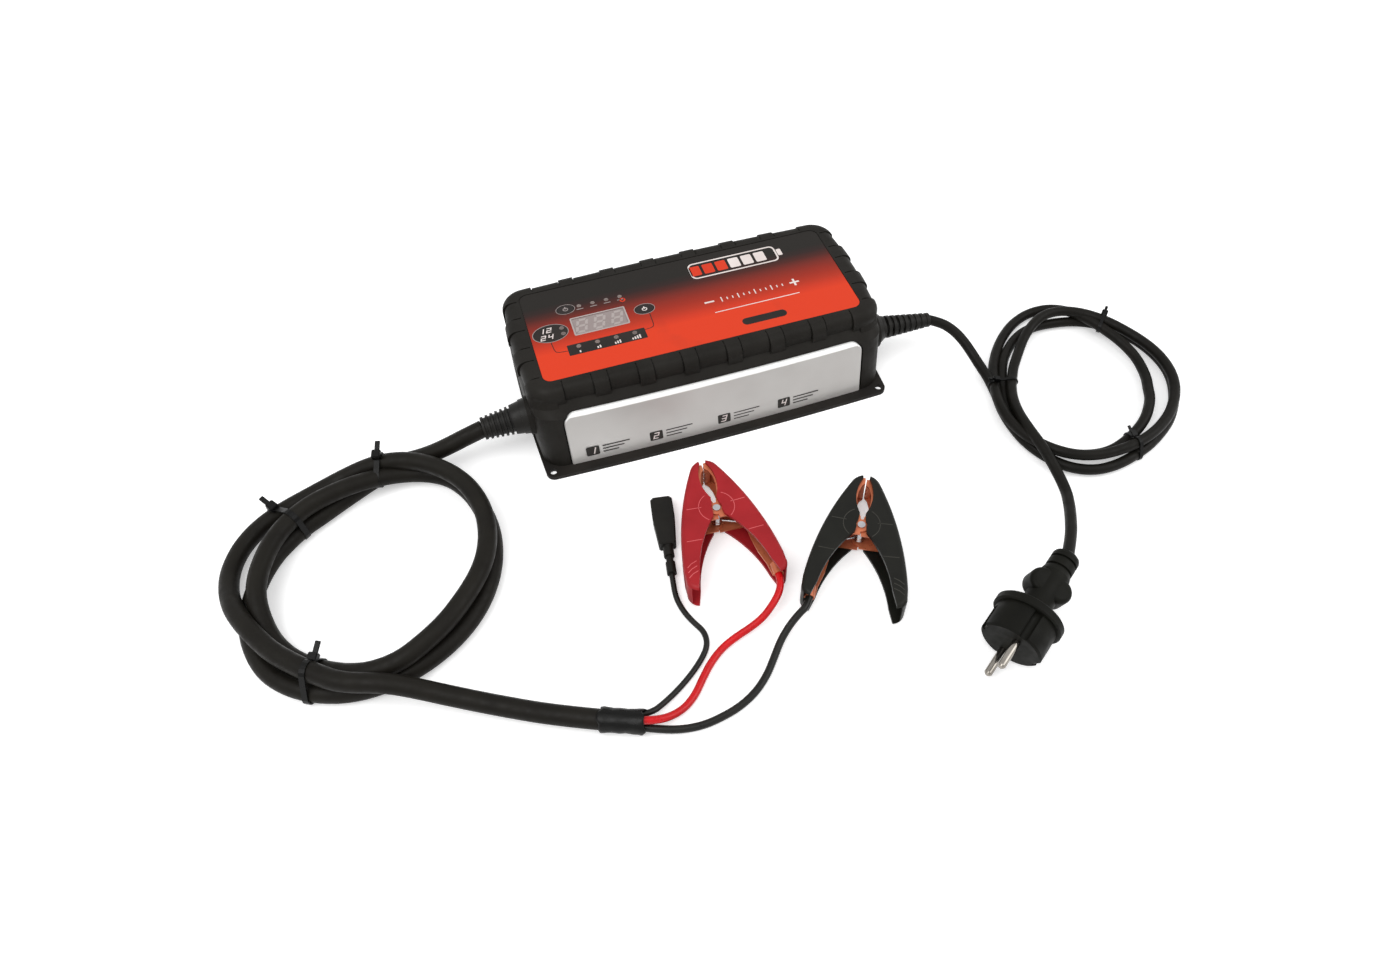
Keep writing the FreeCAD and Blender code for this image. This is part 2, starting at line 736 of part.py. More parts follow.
def band_spans():
    # Where the bumper is proud: pairs along the long sides, and along the ends.
    half = band_width / 2
    end_half = end_band_width / 2
    along = [(side * step * band_pitch - half, side * step * band_pitch + half)
             for side in (-1, 1) for step in (0.5, 1.5, 2.5)]
    ends = [(side * band_pitch / 2 - end_half, side * band_pitch / 2 + end_half) for side in (-1, 1)]
    for side in (-1, 1):
        along.append(tuple(sorted((side * corner_start_x, side * beyond))))
        ends.append(tuple(sorted((side * corner_start_y, side * beyond))))
    return along, ends


def bumper_seams(along, ends):
    # Grooves beside the bands, outside the overlay.
    shallow = barrel_block(lid_half_x, lid_half_y, lid_corner, shoulder_z - merge, lid_top - seam_deep,
                           band_proud + seam_deep)
    shallow = rounded_top(shallow, lid_top - seam_deep, lid_round)
    y0 = overlay_half_y + seam_start
    x0 = overlay_half_x + seam_start
    slots = []
    for low, high in along:
        for start in (low - seam_wide, high):
            if abs(start) < corner_start_x + seam_wide:
                for side in (-1, 1):
                    near, far = sorted((side * y0, side * beyond))
                    slots.append(box(start, near, shoulder_z - merge, start + seam_wide, far, lid_top + merge))
    for low, high in ends:
        for start in (low - seam_wide, high):
            if abs(start) < corner_start_y + seam_wide:
                for side in (-1, 1):
                    near, far = sorted((side * x0, side * beyond))
                    slots.append(box(near, start, shoulder_z - merge, far, start + seam_wide, lid_top + merge))
    return Part.makeCompound(slots).cut(shallow)


def bumper():
    core = barrel_block(lid_half_x, lid_half_y, lid_corner, shoulder_z, lid_top, band_proud)
    core = rounded_top(core, lid_top, lid_round)
    proud = barrel_block(lid_half_x, lid_half_y, lid_corner, shoulder_z - band_drop, lid_top)
    proud = rounded_top(proud, lid_top, lid_round)
    low = shoulder_z - 2 * band_drop
    along, ends = band_spans()
    core = core.cut(bumper_seams(along, ends))
    bands = []
    for x0, x1 in along[:-2]:
        bands.append(box(x0, -beyond, low, x1, beyond, lid_top))
    for y0, y1 in ends[:-2]:
        bands.append(box(-beyond, y0, low, beyond, y1, lid_top))
    for x0, x1 in along[-2:]:
        for y0, y1 in ends[-2:]:
            bands.append(box(x0, y0, low, x1, y1, lid_top))
    return core.multiFuse([proud.common(window) for window in bands])


def wall_shape(inset):
    foot = barrel(wall_half_x, foot_half_y, wall_corner, base_thick, inset)
    waist = barrel(wall_half_x, waist_half_y, wall_corner, waist_z, inset)
    shoulder = barrel(wall_half_x - shoulder_in, shoulder_half_y, wall_corner, shoulder_z, inset)
    return lofted([foot, waist]).fuse(lofted([waist, shoulder]))


def columns():
    # The corners of the lower wall run up flush into the corners of the bumper.
    waist = barrel(wall_half_x, waist_half_y, wall_corner, waist_z - column_foot)
    head = barrel(lid_half_x, lid_half_y, lid_corner, shoulder_z + column_rise)
    skin = lofted([waist, head])
    parts = []
    for x in (-1, 1):
        for y in (-1, 1):
            x0, x1 = sorted((x * panel_half_x, x * beyond))
            y0, y1 = sorted((y * corner_start_y, y * beyond))
            parts.append(skin.common(box(x0, y0, 0, x1, y1, lid_top)))
    return parts


def cavity():
    foot = barrel(wall_half_x, foot_half_y, wall_corner, base_thick, wall_thick + panel_depth)
    waist = barrel(wall_half_x, waist_half_y, wall_corner, waist_z, wall_thick + panel_depth)
    shoulder = barrel(wall_half_x - shoulder_in, shoulder_half_y, wall_corner, shoulder_z, wall_thick)
    room = lofted([foot, waist]).fuse(lofted([waist, shoulder]))
    top = barrel_block(lid_half_x, lid_half_y, lid_corner, shoulder_z, lid_top - lid_thick,
                       wall_thick + band_proud)
    return room.fuse(rounded_top(top, lid_top - lid_thick, inner_round))


def panel_cut(side):
    core = wall_shape(panel_depth)
    door = arch(panel_half_x, panel_top, panel_round, base_thick, side * foot_half_y / 2,
                side * base_half_y)
    return door.cut(core)


def key_hole(x, y, scale):
    hole = ellipse_block(key_long / 2 * scale + loose, key_wide / 2 * scale + loose,
                         lid_top - lid_thick - through, lid_top + through)
    hole.translate(V(x, y, 0))
    return hole


def led_spots():
    spots = [(lower_led_x + i * lower_led_pitch, lower_led_y) for i in range(4)]
    upper = [(upper_led_x + i * upper_led_pitch, upper_led_y) for i in range(4)]
    volts = [(volt_led_x, volt_led_y + s * volt_led_pitch / 2) for s in (-1, 1)]
    return spots, upper, volts


def post_spots():
    return [(x, y) for x in (control_x0 + post_inset, control_x1 - post_inset)
            for y in (post_inset - control_half_y, control_half_y - post_inset)]


def neck_bore(side):
    # Through an end wall and its nut, for a gland's neck.
    start = inner_face_x() - nut_thick - through
    return rod(V(side * start, gland_y, gland_z), V(side * (pad_x + through - start), 0, 0),
               neck_radius + slip)


def upper_housing():
    shell = wall_shape(0).fuse(bumper())
    shell = shell.multiFuse(columns())
    for side in (-1, 1):
        shell = shell.cut(panel_cut(side))
    shell = shell.cut(cavity())
    adds = []
    lid_under = lid_top - lid_thick
    for x in (-screw_x, screw_x):
        for y in (-screw_y, screw_y):
            adds.append(rod(V(x, y, base_thick), UP * (lid_under + merge - base_thick), boss_radius))
    for x, y in post_spots():
        adds.append(rod(V(x, y, control_z + board_thick),
                        UP * (lid_under + merge - control_z - board_thick), post_radius))
    for side in (-1, 1):
        start = V(side * inner_face_x(), gland_y, gland_z)
        adds.append(rod(start, V(side * (pad_x - inner_face_x()), 0, 0), pad_radius))
    shell = joined([shell] + adds)
    shell = shell.cut(rounded_plate(overlay_half_x + loose, overlay_half_y + loose, overlay_corner,
                                    lid_top - overlay_sink, lid_top + merge))
    cuts = [centred(display_x, display_y, lid_under - merge, display_long, display_wide, lid_thick + 2 * merge),
            key_hole(mode_key_x, mode_key_y, 1.0), key_hole(menu_key_x, menu_key_y, menu_key_scale)]
    for group in led_spots():
        for x, y in group:
            cuts.append(rod(V(x, y, lid_under - merge), UP * (lid_thick + 2 * merge), led_radius + slip))
    for x in (-screw_x, screw_x):
        for y in (-screw_y, screw_y):
            cuts.append(rod(V(x, y, base_thick - merge), UP * (screw_grip + screw_spare),
                            screw_size / 2 - slip))
    for x, y in post_spots():
        deep = board_thick + small_grip + screw_hole_spare
        cuts.append(rod(V(x, y, control_z), UP * deep, small_screw / 2 - slip))
    for side in (-1, 1):
        cuts.append(neck_bore(side))
    return shell.cut(Part.makeCompound(cuts))


def label_plate():
    outer = wall_shape(-plate_proud)
    inner = wall_shape(panel_depth - slip)
    door = arch(plate_half_x, plate_top, plate_round, base_thick + slip, -foot_half_y / 2, -base_half_y)
    front = outer.common(door).cut(inner)
    skin_y = plate_proud - waist_half_y
    foot_z = base_thick + slip + plate_edge
    rim = [e for e in front.Edges if e.BoundBox.YMin < skin_y and e.BoundBox.ZMax > foot_z]
    return front.makeFillet(plate_edge, rim)


def overlay():
    # Film with openings for the keys, the display and the lamps.
    z0 = lid_top - overlay_sink + slip
    film = rounded_plate(overlay_half_x, overlay_half_y, overlay_corner, z0, z0 + overlay_thick)
    cuts = [key_hole(mode_key_x, mode_key_y, 1.0), key_hole(menu_key_x, menu_key_y, menu_key_scale),
            centred(display_x, display_y, z0 - merge, display_long - 2 * window_lip,
                    display_wide - 2 * window_lip, overlay_thick + 2 * merge)]
    for group in led_spots():
        for x, y in group:
            cuts.append(rod(V(x, y, z0 - merge), UP * (overlay_thick + 2 * merge), led_radius + slip))
    return film.cut(Part.makeCompound(cuts))


def display_window():
    top = lid_top - overlay_sink
    return centred(display_x, display_y, top - window_thick, display_long - 2 * slip,
                   display_wide - 2 * slip, window_thick)


def digit_module():
    base = control_z + board_thick
    top = lid_top - overlay_sink - window_thick
    body = centred(display_x, display_y, base, display_long - 2 * slip, display_wide - 2 * slip,
                   top - base - slip)
    return body


def leds(spots):
    base = control_z + board_thick
    top = lid_top - overlay_sink - slip
    found = []
    for x, y in spots:
        stem = rod(V(x, y, base), UP * (top - base - led_radius * led_dome), led_radius)
        rim = rod(V(x, y, base), UP * led_foot, led_radius + led_rim)
        dome = Part.makeSphere(led_radius, V(x, y, top - led_radius))
        below = centred(x, y, base - led_radius, 3 * led_radius, 3 * led_radius, led_radius)
        found.append(joined([stem, rim, dome]).cut(below))
    return Part.makeCompound(found)


def key(x, y, scale):
    under = lid_top - lid_thick
    long = key_long / 2 * scale
    wide = key_wide / 2 * scale
    top = lid_top - overlay_sink + slip + overlay_thick + key_proud
    foot = under - loose - key_collar_thick
    rest = switch_top() + key_travel + slip
    cap = ellipse_block(long, wide, foot, top)
    rim = [e for e in cap.Edges if abs(e.BoundBox.ZMin - top) < 1e-3 and e.BoundBox.ZLength < 1e-3]
    cap = cap.makeFillet(key_edge, rim)
    collar = ellipse_block(long + key_collar, wide + key_collar, foot, under - loose)
    stem = rod(V(0, 0, rest), UP * (under - loose - rest), key_stem)
    shape = joined([cap, collar, stem])
    shape.translate(V(x, y, 0))
    return shape


def switch_top():
    return control_z + board_thick + tact_high


def tact_switches():
    base = control_z + board_thick
    found = []
    for x, y in ((mode_key_x, mode_key_y), (menu_key_x, menu_key_y)):
        body = centred(x, y, base, tact_wide, tact_wide, tact_body)
        plunger = rod(V(x, y, base + tact_body), UP * (tact_high - tact_body), tact_plunger)
        found.append(joined([body, plunger]))
    return Part.makeCompound(found)


def control_board():
    board = box(control_x0, -control_half_y, control_z, control_x1, control_half_y, control_z + board_thick)
    for x, y in post_spots():
        board = board.cut(rod(V(x, y, control_z - merge), UP * (board_thick + 2 * merge), small_screw / 2 + slip))
    return board


def board_screws(spots, head_z, direction):
    # The direction is 1 for screws that point up, and -1 for those that point down.
    found = []
    for x, y in spots:
        top = rod(V(x, y, head_z), V(0, 0, -direction * small_head_thick), small_head)
        shank = rod(V(x, y, head_z), V(0, 0, direction * (board_thick + small_grip)), small_screw / 2 - slip)
        slot = centred(x, y, -slot_deep, 2 * small_head * slot_share, slot_wide, 2 * slot_deep)
        slot.translate(V(0, 0, head_z - direction * small_head_thick))
        found.append(joined([top, shank]).cut(slot))
    return Part.makeCompound(found)


def case_screws():
    found = []
    for x in (-screw_x, screw_x):
        for y in (-screw_y, screw_y):
            head = Part.makeCone(screw_head / 2, screw_size / 2 - slip, screw_head_deep, V(x, y, slip))
            shank = rod(V(x, y, slip), UP * (base_thick + screw_grip - merge), screw_size / 2 - 2 * slip)
            slot = centred(x, y, -merge, screw_head * slot_share, slot_wide, merge + slip + slot_deep)
            found.append(joined([head, shank]).cut(slot))
    return Part.makeCompound(found)


def main_board():
    board = box(-main_half_x, -main_half_y, main_z, main_half_x, main_half_y, main_z + board_thick)
    for x in (-screw_x, screw_x):
        for y in (-screw_y, screw_y):
            board = board.cut(rod(V(x, y, main_z - merge), UP * (board_thick + 2 * merge),
                                  boss_radius + loose))
    for x in (-main_screw_x, main_screw_x):
        for y in (-screw_y, screw_y):
            board = board.cut(rod(V(x, y, main_z - merge), UP * (board_thick + 2 * merge),
                                  small_screw / 2 + slip))
    return board


def transformer_core():
    outer = centred(core_x, core_y, board_top + core_foot, core_long, core_deep, core_high)
    gap = (core_long - core_leg) / 2 - core_side
    for side in (-1, 1):
        x = core_x + side * (core_leg + gap) / 2
        outer = outer.cut(centred(x, core_y, board_top + core_foot + core_side, gap, core_deep + 2 * merge,
                                  core_high - 2 * core_side))
    return outer


def transformer_winding():
    gap = (core_long - core_leg) / 2 - core_side - loose
    high = core_high - 2 * core_side - 2 * loose
    z0 = board_top + core_foot + core_side + loose
    half_x = core_leg / 2 + gap
    half_y = core_deep / 2 + gap
    coil = rounded_plate(half_x, half_y, gap * winding_round, z0, z0 + high)
    coil.translate(V(core_x, core_y, 0))
    flange = rounded_plate(half_x, half_y + flange_proud, flange_round, z0, z0 + flange_thick)
    flange.translate(V(core_x, core_y, 0))
    feet = []
    for end in (-1, 1):
        y = core_y + end * (half_y - winding_foot_in)
        feet.append(centred(core_x, y, board_top, core_leg + gap, winding_foot, z0 - board_top + merge))
    coil = joined([coil, flange] + feet)
    return coil.cut(centred(core_x, core_y, 0, core_leg + 2 * slip, core_deep + 2 * slip, lid_top))


def capacitor(x, y, radius, high):
    profile = [(0, radius - can_round), (can_round, radius), (can_waist_z - can_waist_half, radius),
               (can_waist_z, radius - can_waist_deep), (can_waist_z + can_waist_half, radius),
               (high - can_round, radius), (high, radius - can_round)]
    return aimed(turned(profile), V(x, y, board_top), UP)


def output_capacitors():
    return Part.makeCompound([capacitor(small_cap_x, y, small_cap_radius, small_cap_high)
                              for y in (-small_cap_spread, small_cap_spread)])


def heatsink():
    z1 = board_top + sink_high
    body = box(sink_x - sink_long / 2, sink_y, board_top, sink_x + sink_long / 2, sink_y + sink_thick, z1)
    fins = []
    count = int(sink_long / fin_pitch)
    for i in range(count + 1):
        x = sink_x + (i - count / 2) * fin_pitch
        x = max(min(x, sink_x + (sink_long - fin_thick) / 2), sink_x - (sink_long - fin_thick) / 2)
        fins.append(box(x - fin_thick / 2, sink_y + sink_thick - merge, board_top, x + fin_thick / 2,
                        sink_y + sink_thick + fin_deep, z1))
    return joined([body] + fins)


def power_transistors():
    found = []
    half = transistor_wide / 2
    foot = board_top + transistor_foot
    head = foot + transistor_body
    for x in transistor_spots:
        body = box(x - half, sink_y - transistor_thick, foot, x + half, sink_y, head)
        tab = box(x - half, sink_y - tab_thick, head - merge, x + half, sink_y, head + transistor_tab)
        hole = rod(V(x, sink_y - transistor_thick, head + transistor_tab / 2), V(0, transistor_thick + merge, 0),
                   tab_hole)
        legs = []
        for step in (-1, 0, 1):
            leg_y = sink_y - transistor_thick / 2
            legs.append(centred(x + step * leg_pitch, leg_y, board_top, leg_wide, leg_wide,
                                transistor_foot + merge))
        found.append(joined([body, tab.cut(hole)] + legs))
    return Part.makeCompound(found)


def fuse():
    axis_z = board_top + fuse_rise
    parts = [rod(V(fuse_x - fuse_long / 2, fuse_y, axis_z), V(fuse_long, 0, 0), fuse_radius)]
    for side in (-1, 1):
        x = fuse_x + side * (fuse_long - fuse_cap_long) / 2
        parts.append(rod(V(x - fuse_cap_long / 2, fuse_y, axis_z), V(fuse_cap_long, 0, 0),
                         fuse_radius + fuse_cap))
        parts.append(centred(x, fuse_y, board_top, fuse_clip_long, fuse_clip_wide, fuse_rise))
    return joined(parts)


def control_ribbon():
    # Flat cable between the two boards, with a plug at each end.
    low = centred(ribbon_x, ribbon_y, board_top, ribbon_long, ribbon_plug_wide, ribbon_plug_high)
    high = centred(ribbon_x, ribbon_y, control_z - ribbon_plug_high, ribbon_long, ribbon_plug_wide,
                   ribbon_plug_high)
    flat = centred(ribbon_x, ribbon_y, board_top + ribbon_grip, ribbon_long - 2 * ribbon_margin,
                   ribbon_thick, control_z - board_top - 2 * ribbon_grip)
    return joined([low, high, flat])


# Glands and the leads behind them

def ribs(start_x, end_x, first, last, valley_first, valley_last, count, rib_share):
    # Profile of a ribbed taper: (x, radius) pairs.
    points = []
    step = (end_x - start_x) / count
    width = step * rib_share
    for i in range(count):
        x = start_x + i * step
        share = i / (count - 1)
        high = first + (last - first) * share
        low = valley_first + (valley_last - valley_first) * share
        points += [(x, low), (x + step - width, low), (x + step - width + rib_bevel, high),
                   (x + step - rib_bevel, high)]
    points.append((end_x, last - rib_bevel))
    return points


def gland(side, end, slope, bore, profile):
    # Neck through the wall, collar against it, and the ribbed taper out to the tip.
    base = V(side * pad_x, gland_y, gland_z)
    along = end - base
    neck_long = pad_x - inner_face_x() + nut_thick + neck_spare
    neck = rod(base - V(side * neck_long, 0, 0), V(side * (neck_long + taper_start), 0, 0), neck_radius)
    collar = Part.makeCone(collar_radius, collar_radius - slope, collar_long, base, V(side, 0, 0))
    taper = aimed(turned(profile), base, along)
    body = joined([neck, collar, taper])
    straight = V(side * (neck_long + through), 0, 0)
    body = body.cut(rod(base - V(side * neck_long, 0, 0), straight, bore + loose))
    hole = rod(base - along * bore_share, along * (1 + 2 * bore_share), bore)
    return body.cut(hole)


def inner_face_x():
    # Where the pads inside the two end walls carry the nuts.
    return wall_half_x - wall_thick - panel_depth - pad_deep


def output_gland():
    end = output_inlet[0]
    long = (end - V(-pad_x, gland_y, gland_z)).Length
    first_x = collar_long + output_rib_start
    profile = [(taper_start, output_root), (collar_long, output_root), (first_x, output_root_end)]
    profile += ribs(first_x, long, output_rib_first, output_rib_last, output_valley_first,
                    output_valley_last, output_rib_count, output_rib_share)
    return gland(-1, end, output_slope, output_dia / 2 + slip, profile)


def mains_strain_relief():
    end = mains_inlet[0]
    base = V(pad_x, gland_y, gland_z)
    long = (end - base).Length
    first_x = collar_long + mains_rib_start
    profile = [(taper_start, neck_radius - taper_in), (collar_long + taper_start, relief_root),
               (collar_long + relief_shoulder_long, relief_shoulder)]
    profile += ribs(first_x, long, mains_rib_first, mains_rib_last, mains_valley_first,
                    mains_valley_last, mains_rib_count, mains_rib_share)
    body = gland(1, end, collar_slope, mains_dia / 2 + slip, profile)
    step = (long - first_x) / mains_rib_count
    slots = []
    for i in range(mains_rib_count):
        # In the middle of the valley before each rib
        x = first_x + (i + (1 - mains_rib_share) / 2) * step
        lean = 0 if i % 2 else 90
        for side in (-1, 1):
            y0 = side * relief_slot_side - relief_slot_deep
            slot = box(x - relief_slot / 2, y0, -relief_slot_reach, x + relief_slot / 2,
                       y0 + 2 * relief_slot_deep, relief_slot_reach)
            slots.append(aimed(slot, base, end - base, lean))
    return body.cut(Part.makeCompound(slots))


def gland_nuts():
    found = []
    for side in (-1, 1):
        corner = nut_across / math.sqrt(3)
        ring = [V(side * (inner_face_x() - slip), gland_y + corner * math.cos(math.radians(60 * i)),
                  gland_z + corner * math.sin(math.radians(60 * i))) for i in range(7)]
        nut = Part.Face(Part.makePolygon(ring)).extrude(V(-side * nut_thick, 0, 0))
        found.append(nut.cut(neck_bore(side)))
    return Part.makeCompound(found)


def inner_leads():
    # Short leads from the glands down to the main board.
    found = []
    start_x = inner_face_x() - nut_thick - neck_spare
    for side, dia, name in ((-1, output_dia, "inner output lead"), (1, mains_dia, "inner mains lead")):
        points = [V(side * (start_x + inner_lead_grip), gland_y, gland_z)]
        for inward, drop in inner_lead_steps:
            points.append(V(side * (start_x - inward), gland_y, gland_z - drop))
        tube = cord_tube(points, dia * inner_lead_share, name)
        foot = points[-1]
        pad = centred(foot.x, gland_y, board_top, lead_pad, lead_pad, foot.z + slip - board_top)
        found.append(joined([tube, pad]))
    return Part.makeCompound(found)


def bores(route, radius, depth):
    along = (route[1] - route[0]).normalize()
    return rod(route[0] - along * loose, along * (depth + loose), radius)


def sleeve():
    along = sleeve_end - sleeve_start
    body = rod(sleeve_start, along, sleeve_radius)
    lead_end = output_outlet[-1]
    inward = (lead_end - output_outlet[-2]).normalize()
    body = body.cut(rod(lead_end - inward * sleeve_grip, inward * (sleeve_grip + loose),
                        output_dia / 2 + slip))
    for route, dia in ((sensor_route, sensor_dia), (red_route, red_dia), (black_route, black_dia)):
        body = body.cut(bores(route, dia / 2 + slip, branch_grip))
    return body


# Clamps: local x to the right, y to the tip, the pivot at the origin

def grip_edges():
    # Outer side of the right half, from the tip down to the handle.
    return [arc(tip, nose, cheek), arc(cheek, bulge, hip)]


def cover_outline():
    return Part.Wire(grip_edges() + [line(hip, heel), arc(heel, heel_turn, handle_tip),
                                     line(handle_tip, palm), arc(palm, palm_turn, crotch),
                                     line(crotch, throat), arc(throat, mouth_turn, mouth_end),
                                     line(mouth_end, tip)])


def inside(depth):
    # Everything inward of the outer side, set back by a depth.
    low_out = V(handle_x, inside_low, 0)
    low_back = V(inside_back, inside_low, 0)
    high_back = V(inside_back, tip_y, 0)
    edges = grip_edges() + [line(hip, low_out), line(low_out, low_back), line(low_back, high_back),
                            line(high_back, tip)]
    wire = Part.Wire(Part.sortEdges(edges)[0])
    return wire.makeOffset2D(-depth, 2)


def slab(wire, z0, z1):
    solid = Part.Face(wire).extrude(UP * (z1 - z0))
    solid.translate(V(0, 0, z0))
    return solid


def on_outer_side(edge):
    # Whether an edge of the cover's top or bottom runs along the nose, the handle or the heel.
    mid = edge.valueAt((edge.FirstParameter + edge.LastParameter) / 2)
    flat = edge.BoundBox.ZLength < 1e-3
    return flat and any((mid - spot - UP * mid.z).Length < 1e-3 for spot in outer_middles())


def outer_middles():
    edges = grip_edges() + [line(hip, heel), arc(heel, heel_turn, handle_tip)]
    return [edge.valueAt((edge.FirstParameter + edge.LastParameter) / 2) for edge in edges]


def cover_half():
    body = slab(cover_outline(), 0, clamp_height)
    body = body.makeFillet(clamp_round, [edge for edge in body.Edges if on_outer_side(edge)])
    body = body.cut(slab(inside(clamp_skin), clamp_skin, clamp_height - clamp_skin))
    body = body.cut(rod(V(0, 0, -merge), UP * (clamp_height + 2 * merge), notch_radius))
    grooves = []
    for i in range(rib_count):
        y = rib_start - i * rib_pitch
        grooves.append(box(outer_x(y) - rib_deep, y - rib_wide / 2, rib_side, jaw_out, y + rib_wide / 2,
                           clamp_height - rib_side))
    return body.cut(Part.makeCompound(grooves))


def outer_x(y):
    # Outer side of the handle at a height y
    level = line(V(0, y, 0), V(jaw_out, y, 0))
    side = Part.Wire(grip_edges() + [line(hip, heel)])
    return level.distToShape(side)[1][0][0].x


def jaw_half(z0, z1, hole, with_strip):
    room = inside(clamp_skin + slip)
    body = slab(room, z0, z1).common(polygon(jaw_plan, z0, z1))
    body = body.fuse(rod(V(0, 0, z0), UP * (z1 - z0), ear_radius))
    hollow = inside(clamp_skin + slip + copper)
    body = body.cut(slab(hollow, z0 + copper, z1 - copper))
    lip = slab(room, z0, z1).common(box(jaw_face, lip_start, z0, jaw_face + lip_deep, jaw_far, z1))
    body = body.fuse(lip)
    for i in range(tooth_count):
        z = z0 + (i + 0.5) * (z1 - z0) / tooth_count
        y = lip_start - merge
        notch = Part.makePolygon([V(0, y, z - tooth_half), V(tooth_deep, y, z), V(0, y, z + tooth_half),
                                  V(0, y, z - tooth_half)])
        body = body.cut(Part.Face(notch).extrude(V(0, jaw_far - y, 0)))
    if with_strip:
        mid = clamp_height / 2
        strip = slab(room, strip_z, strip_z + copper).common(polygon(strip_plan, 0, clamp_height))
        bore = red_dia / 2 + loose
        crimp_x = handle_x - clamp_skin - slip - bore - crimp_wall - crimp_set
        crimp = rod(V(crimp_x, crimp_y, mid), V(0, crimp_long, 0), bore + crimp_wall)
        body = joined([body, strip, crimp])
        body = body.cut(rod(V(crimp_x, crimp_y - merge, mid), V(0, crimp_long, 0), bore))
    return body.cut(rod(V(0, 0, -merge), UP * (clamp_height + 2 * merge), hole)).removeSplitter()


def mirrored(shape):
    return shape.mirror(V(0, 0, 0), V(1, 0, 0))


def clamp_pin():
    low = clamp_skin
    high = clamp_height - clamp_skin
    shank = rod(V(0, 0, low - slip), UP * (high - low + 2 * slip), pin_radius)
    foot = rod(V(0, 0, low - pin_head_thick), UP * pin_head_thick, pin_head)
    head = rod(V(0, 0, high), UP * pin_head_thick, pin_head)
    return joined([shank, foot, head])


def clamp_spring():
    # Wound wire round the pin, with a leg along the fixed handle and a short one opposite.
    low = clamp_skin + slip + 2 * copper + loose + spring_room
    high = clamp_height - low
    step = (high - low) / spring_turns
    outer = spring_inner + spring_wire
    groove = outer - spring_groove
    rim = [V(spring_inner, 0, low), V(groove, 0, low)]
    for i in range(spring_turns):
        z = low + i * step
        rim += [V(outer, 0, z + 0.25 * step), V(outer, 0, z + 0.75 * step), V(groove, 0, z + step)]
    rim.append(V(spring_inner, 0, high))
    coil = Part.Face(Part.makePolygon(rim + rim[:1])).revolve(V(0, 0, 0), UP, 360)
    coil = placed(coil, V(0, 0, 0), 90)
    wire = spring_wire / 2
    middle = spring_inner + wire
    leg = rod(V(middle, 0, low + 0.5 * step), spring_leg, wire)
    stub = rod(V(-middle, 0, high - 0.5 * step), spring_stub, wire)
    return joined([coil, leg, stub])


def clamp(prefix, pivot, turn, fixed_side, route):
    # The half that holds the lead is fixed; the other one turns on the pin.
    outer_low = clamp_skin + slip
    outer_high = clamp_height - outer_low
    inner_low = outer_low + copper + loose
    inner_high = clamp_height - inner_low
    cover = cover_half()
    fixed_jaw = jaw_half(outer_low, outer_high, pin_radius + running, True)
    moving_jaw = jaw_half(inner_low, inner_high, pin_radius + running, False)
    spring = clamp_spring()
    if fixed_side < 0:
        fixed_jaw = mirrored(fixed_jaw)
        spring = mirrored(spring)
    else:
        moving_jaw = mirrored(moving_jaw)
    fixed_cover = cover if fixed_side > 0 else mirrored(cover)
    moving_cover = mirrored(cover) if fixed_side > 0 else cover
    parts = {"fixed_cover": fixed_cover, "moving_cover": moving_cover, "fixed_jaw": fixed_jaw,
             "moving_jaw": moving_jaw, "pivot_pin": clamp_pin(), "spring": spring}
    found = {prefix + "_" + name: placed(shape, pivot, turn) for name, shape in parts.items()}
    holder = prefix + "_fixed_cover"
    for start, end in zip(route[-5:], route[-4:]):
        mouth = rod(start, end - start, red_dia / 2 + mouth_room)
        corner = Part.makeSphere(red_dia / 2 + mouth_room, start)
        found[holder] = found[holder].cut(mouth).cut(corner)
    return found


# Temperature sensor

def sensor_probe():
    along = probe_tail - probe_tip
    long = along.Length
    a = probe_wide / 2
    b = probe_narrow / 2
    small = probe_corner / 2
    side = [(0, a - probe_corner), (probe_corner, a), (long * probe_belly, a), (long - small, b),
            (long, b - small)]
    rim = [V(x, y, 0) for x, y in side] + [V(x, -y, 0) for x, y in reversed(side)]
    body = Part.Face(Part.makePolygon(rim + rim[:1])).extrude(UP * (probe_thick - 2 * slip))
    body.translate(V(0, 0, slip - probe_thick / 2))
    edges = [e for e in body.Edges if e.BoundBox.ZLength < 1e-3]
    body = body.makeChamfer(probe_bevel, edges)
    neck = rod(V(long - merge, 0, 0), V(probe_neck + merge, 0, 0), probe_neck_radius)
    stem = rod(V(long, 0, 0), V(probe_neck + probe_stem, 0, 0), probe_stem_radius)
    return aimed(joined([body, neck, stem]), probe_tip, along)


def sensor_ferrule():
    along = (probe_tail - probe_tip).normalize()
    start = probe_tail + along * (probe_neck + probe_stem + slip)
    body = rod(start, along * ferrule_long, ferrule_radius)
    out = sensor_route[-2] - sensor_route[-1]
    return body.cut(rod(sensor_route[-1] - out * bore_share, out * (1 + bore_share), sensor_dia / 2 + slip))


# Mains plug, built along +X from the lead's entry to the face

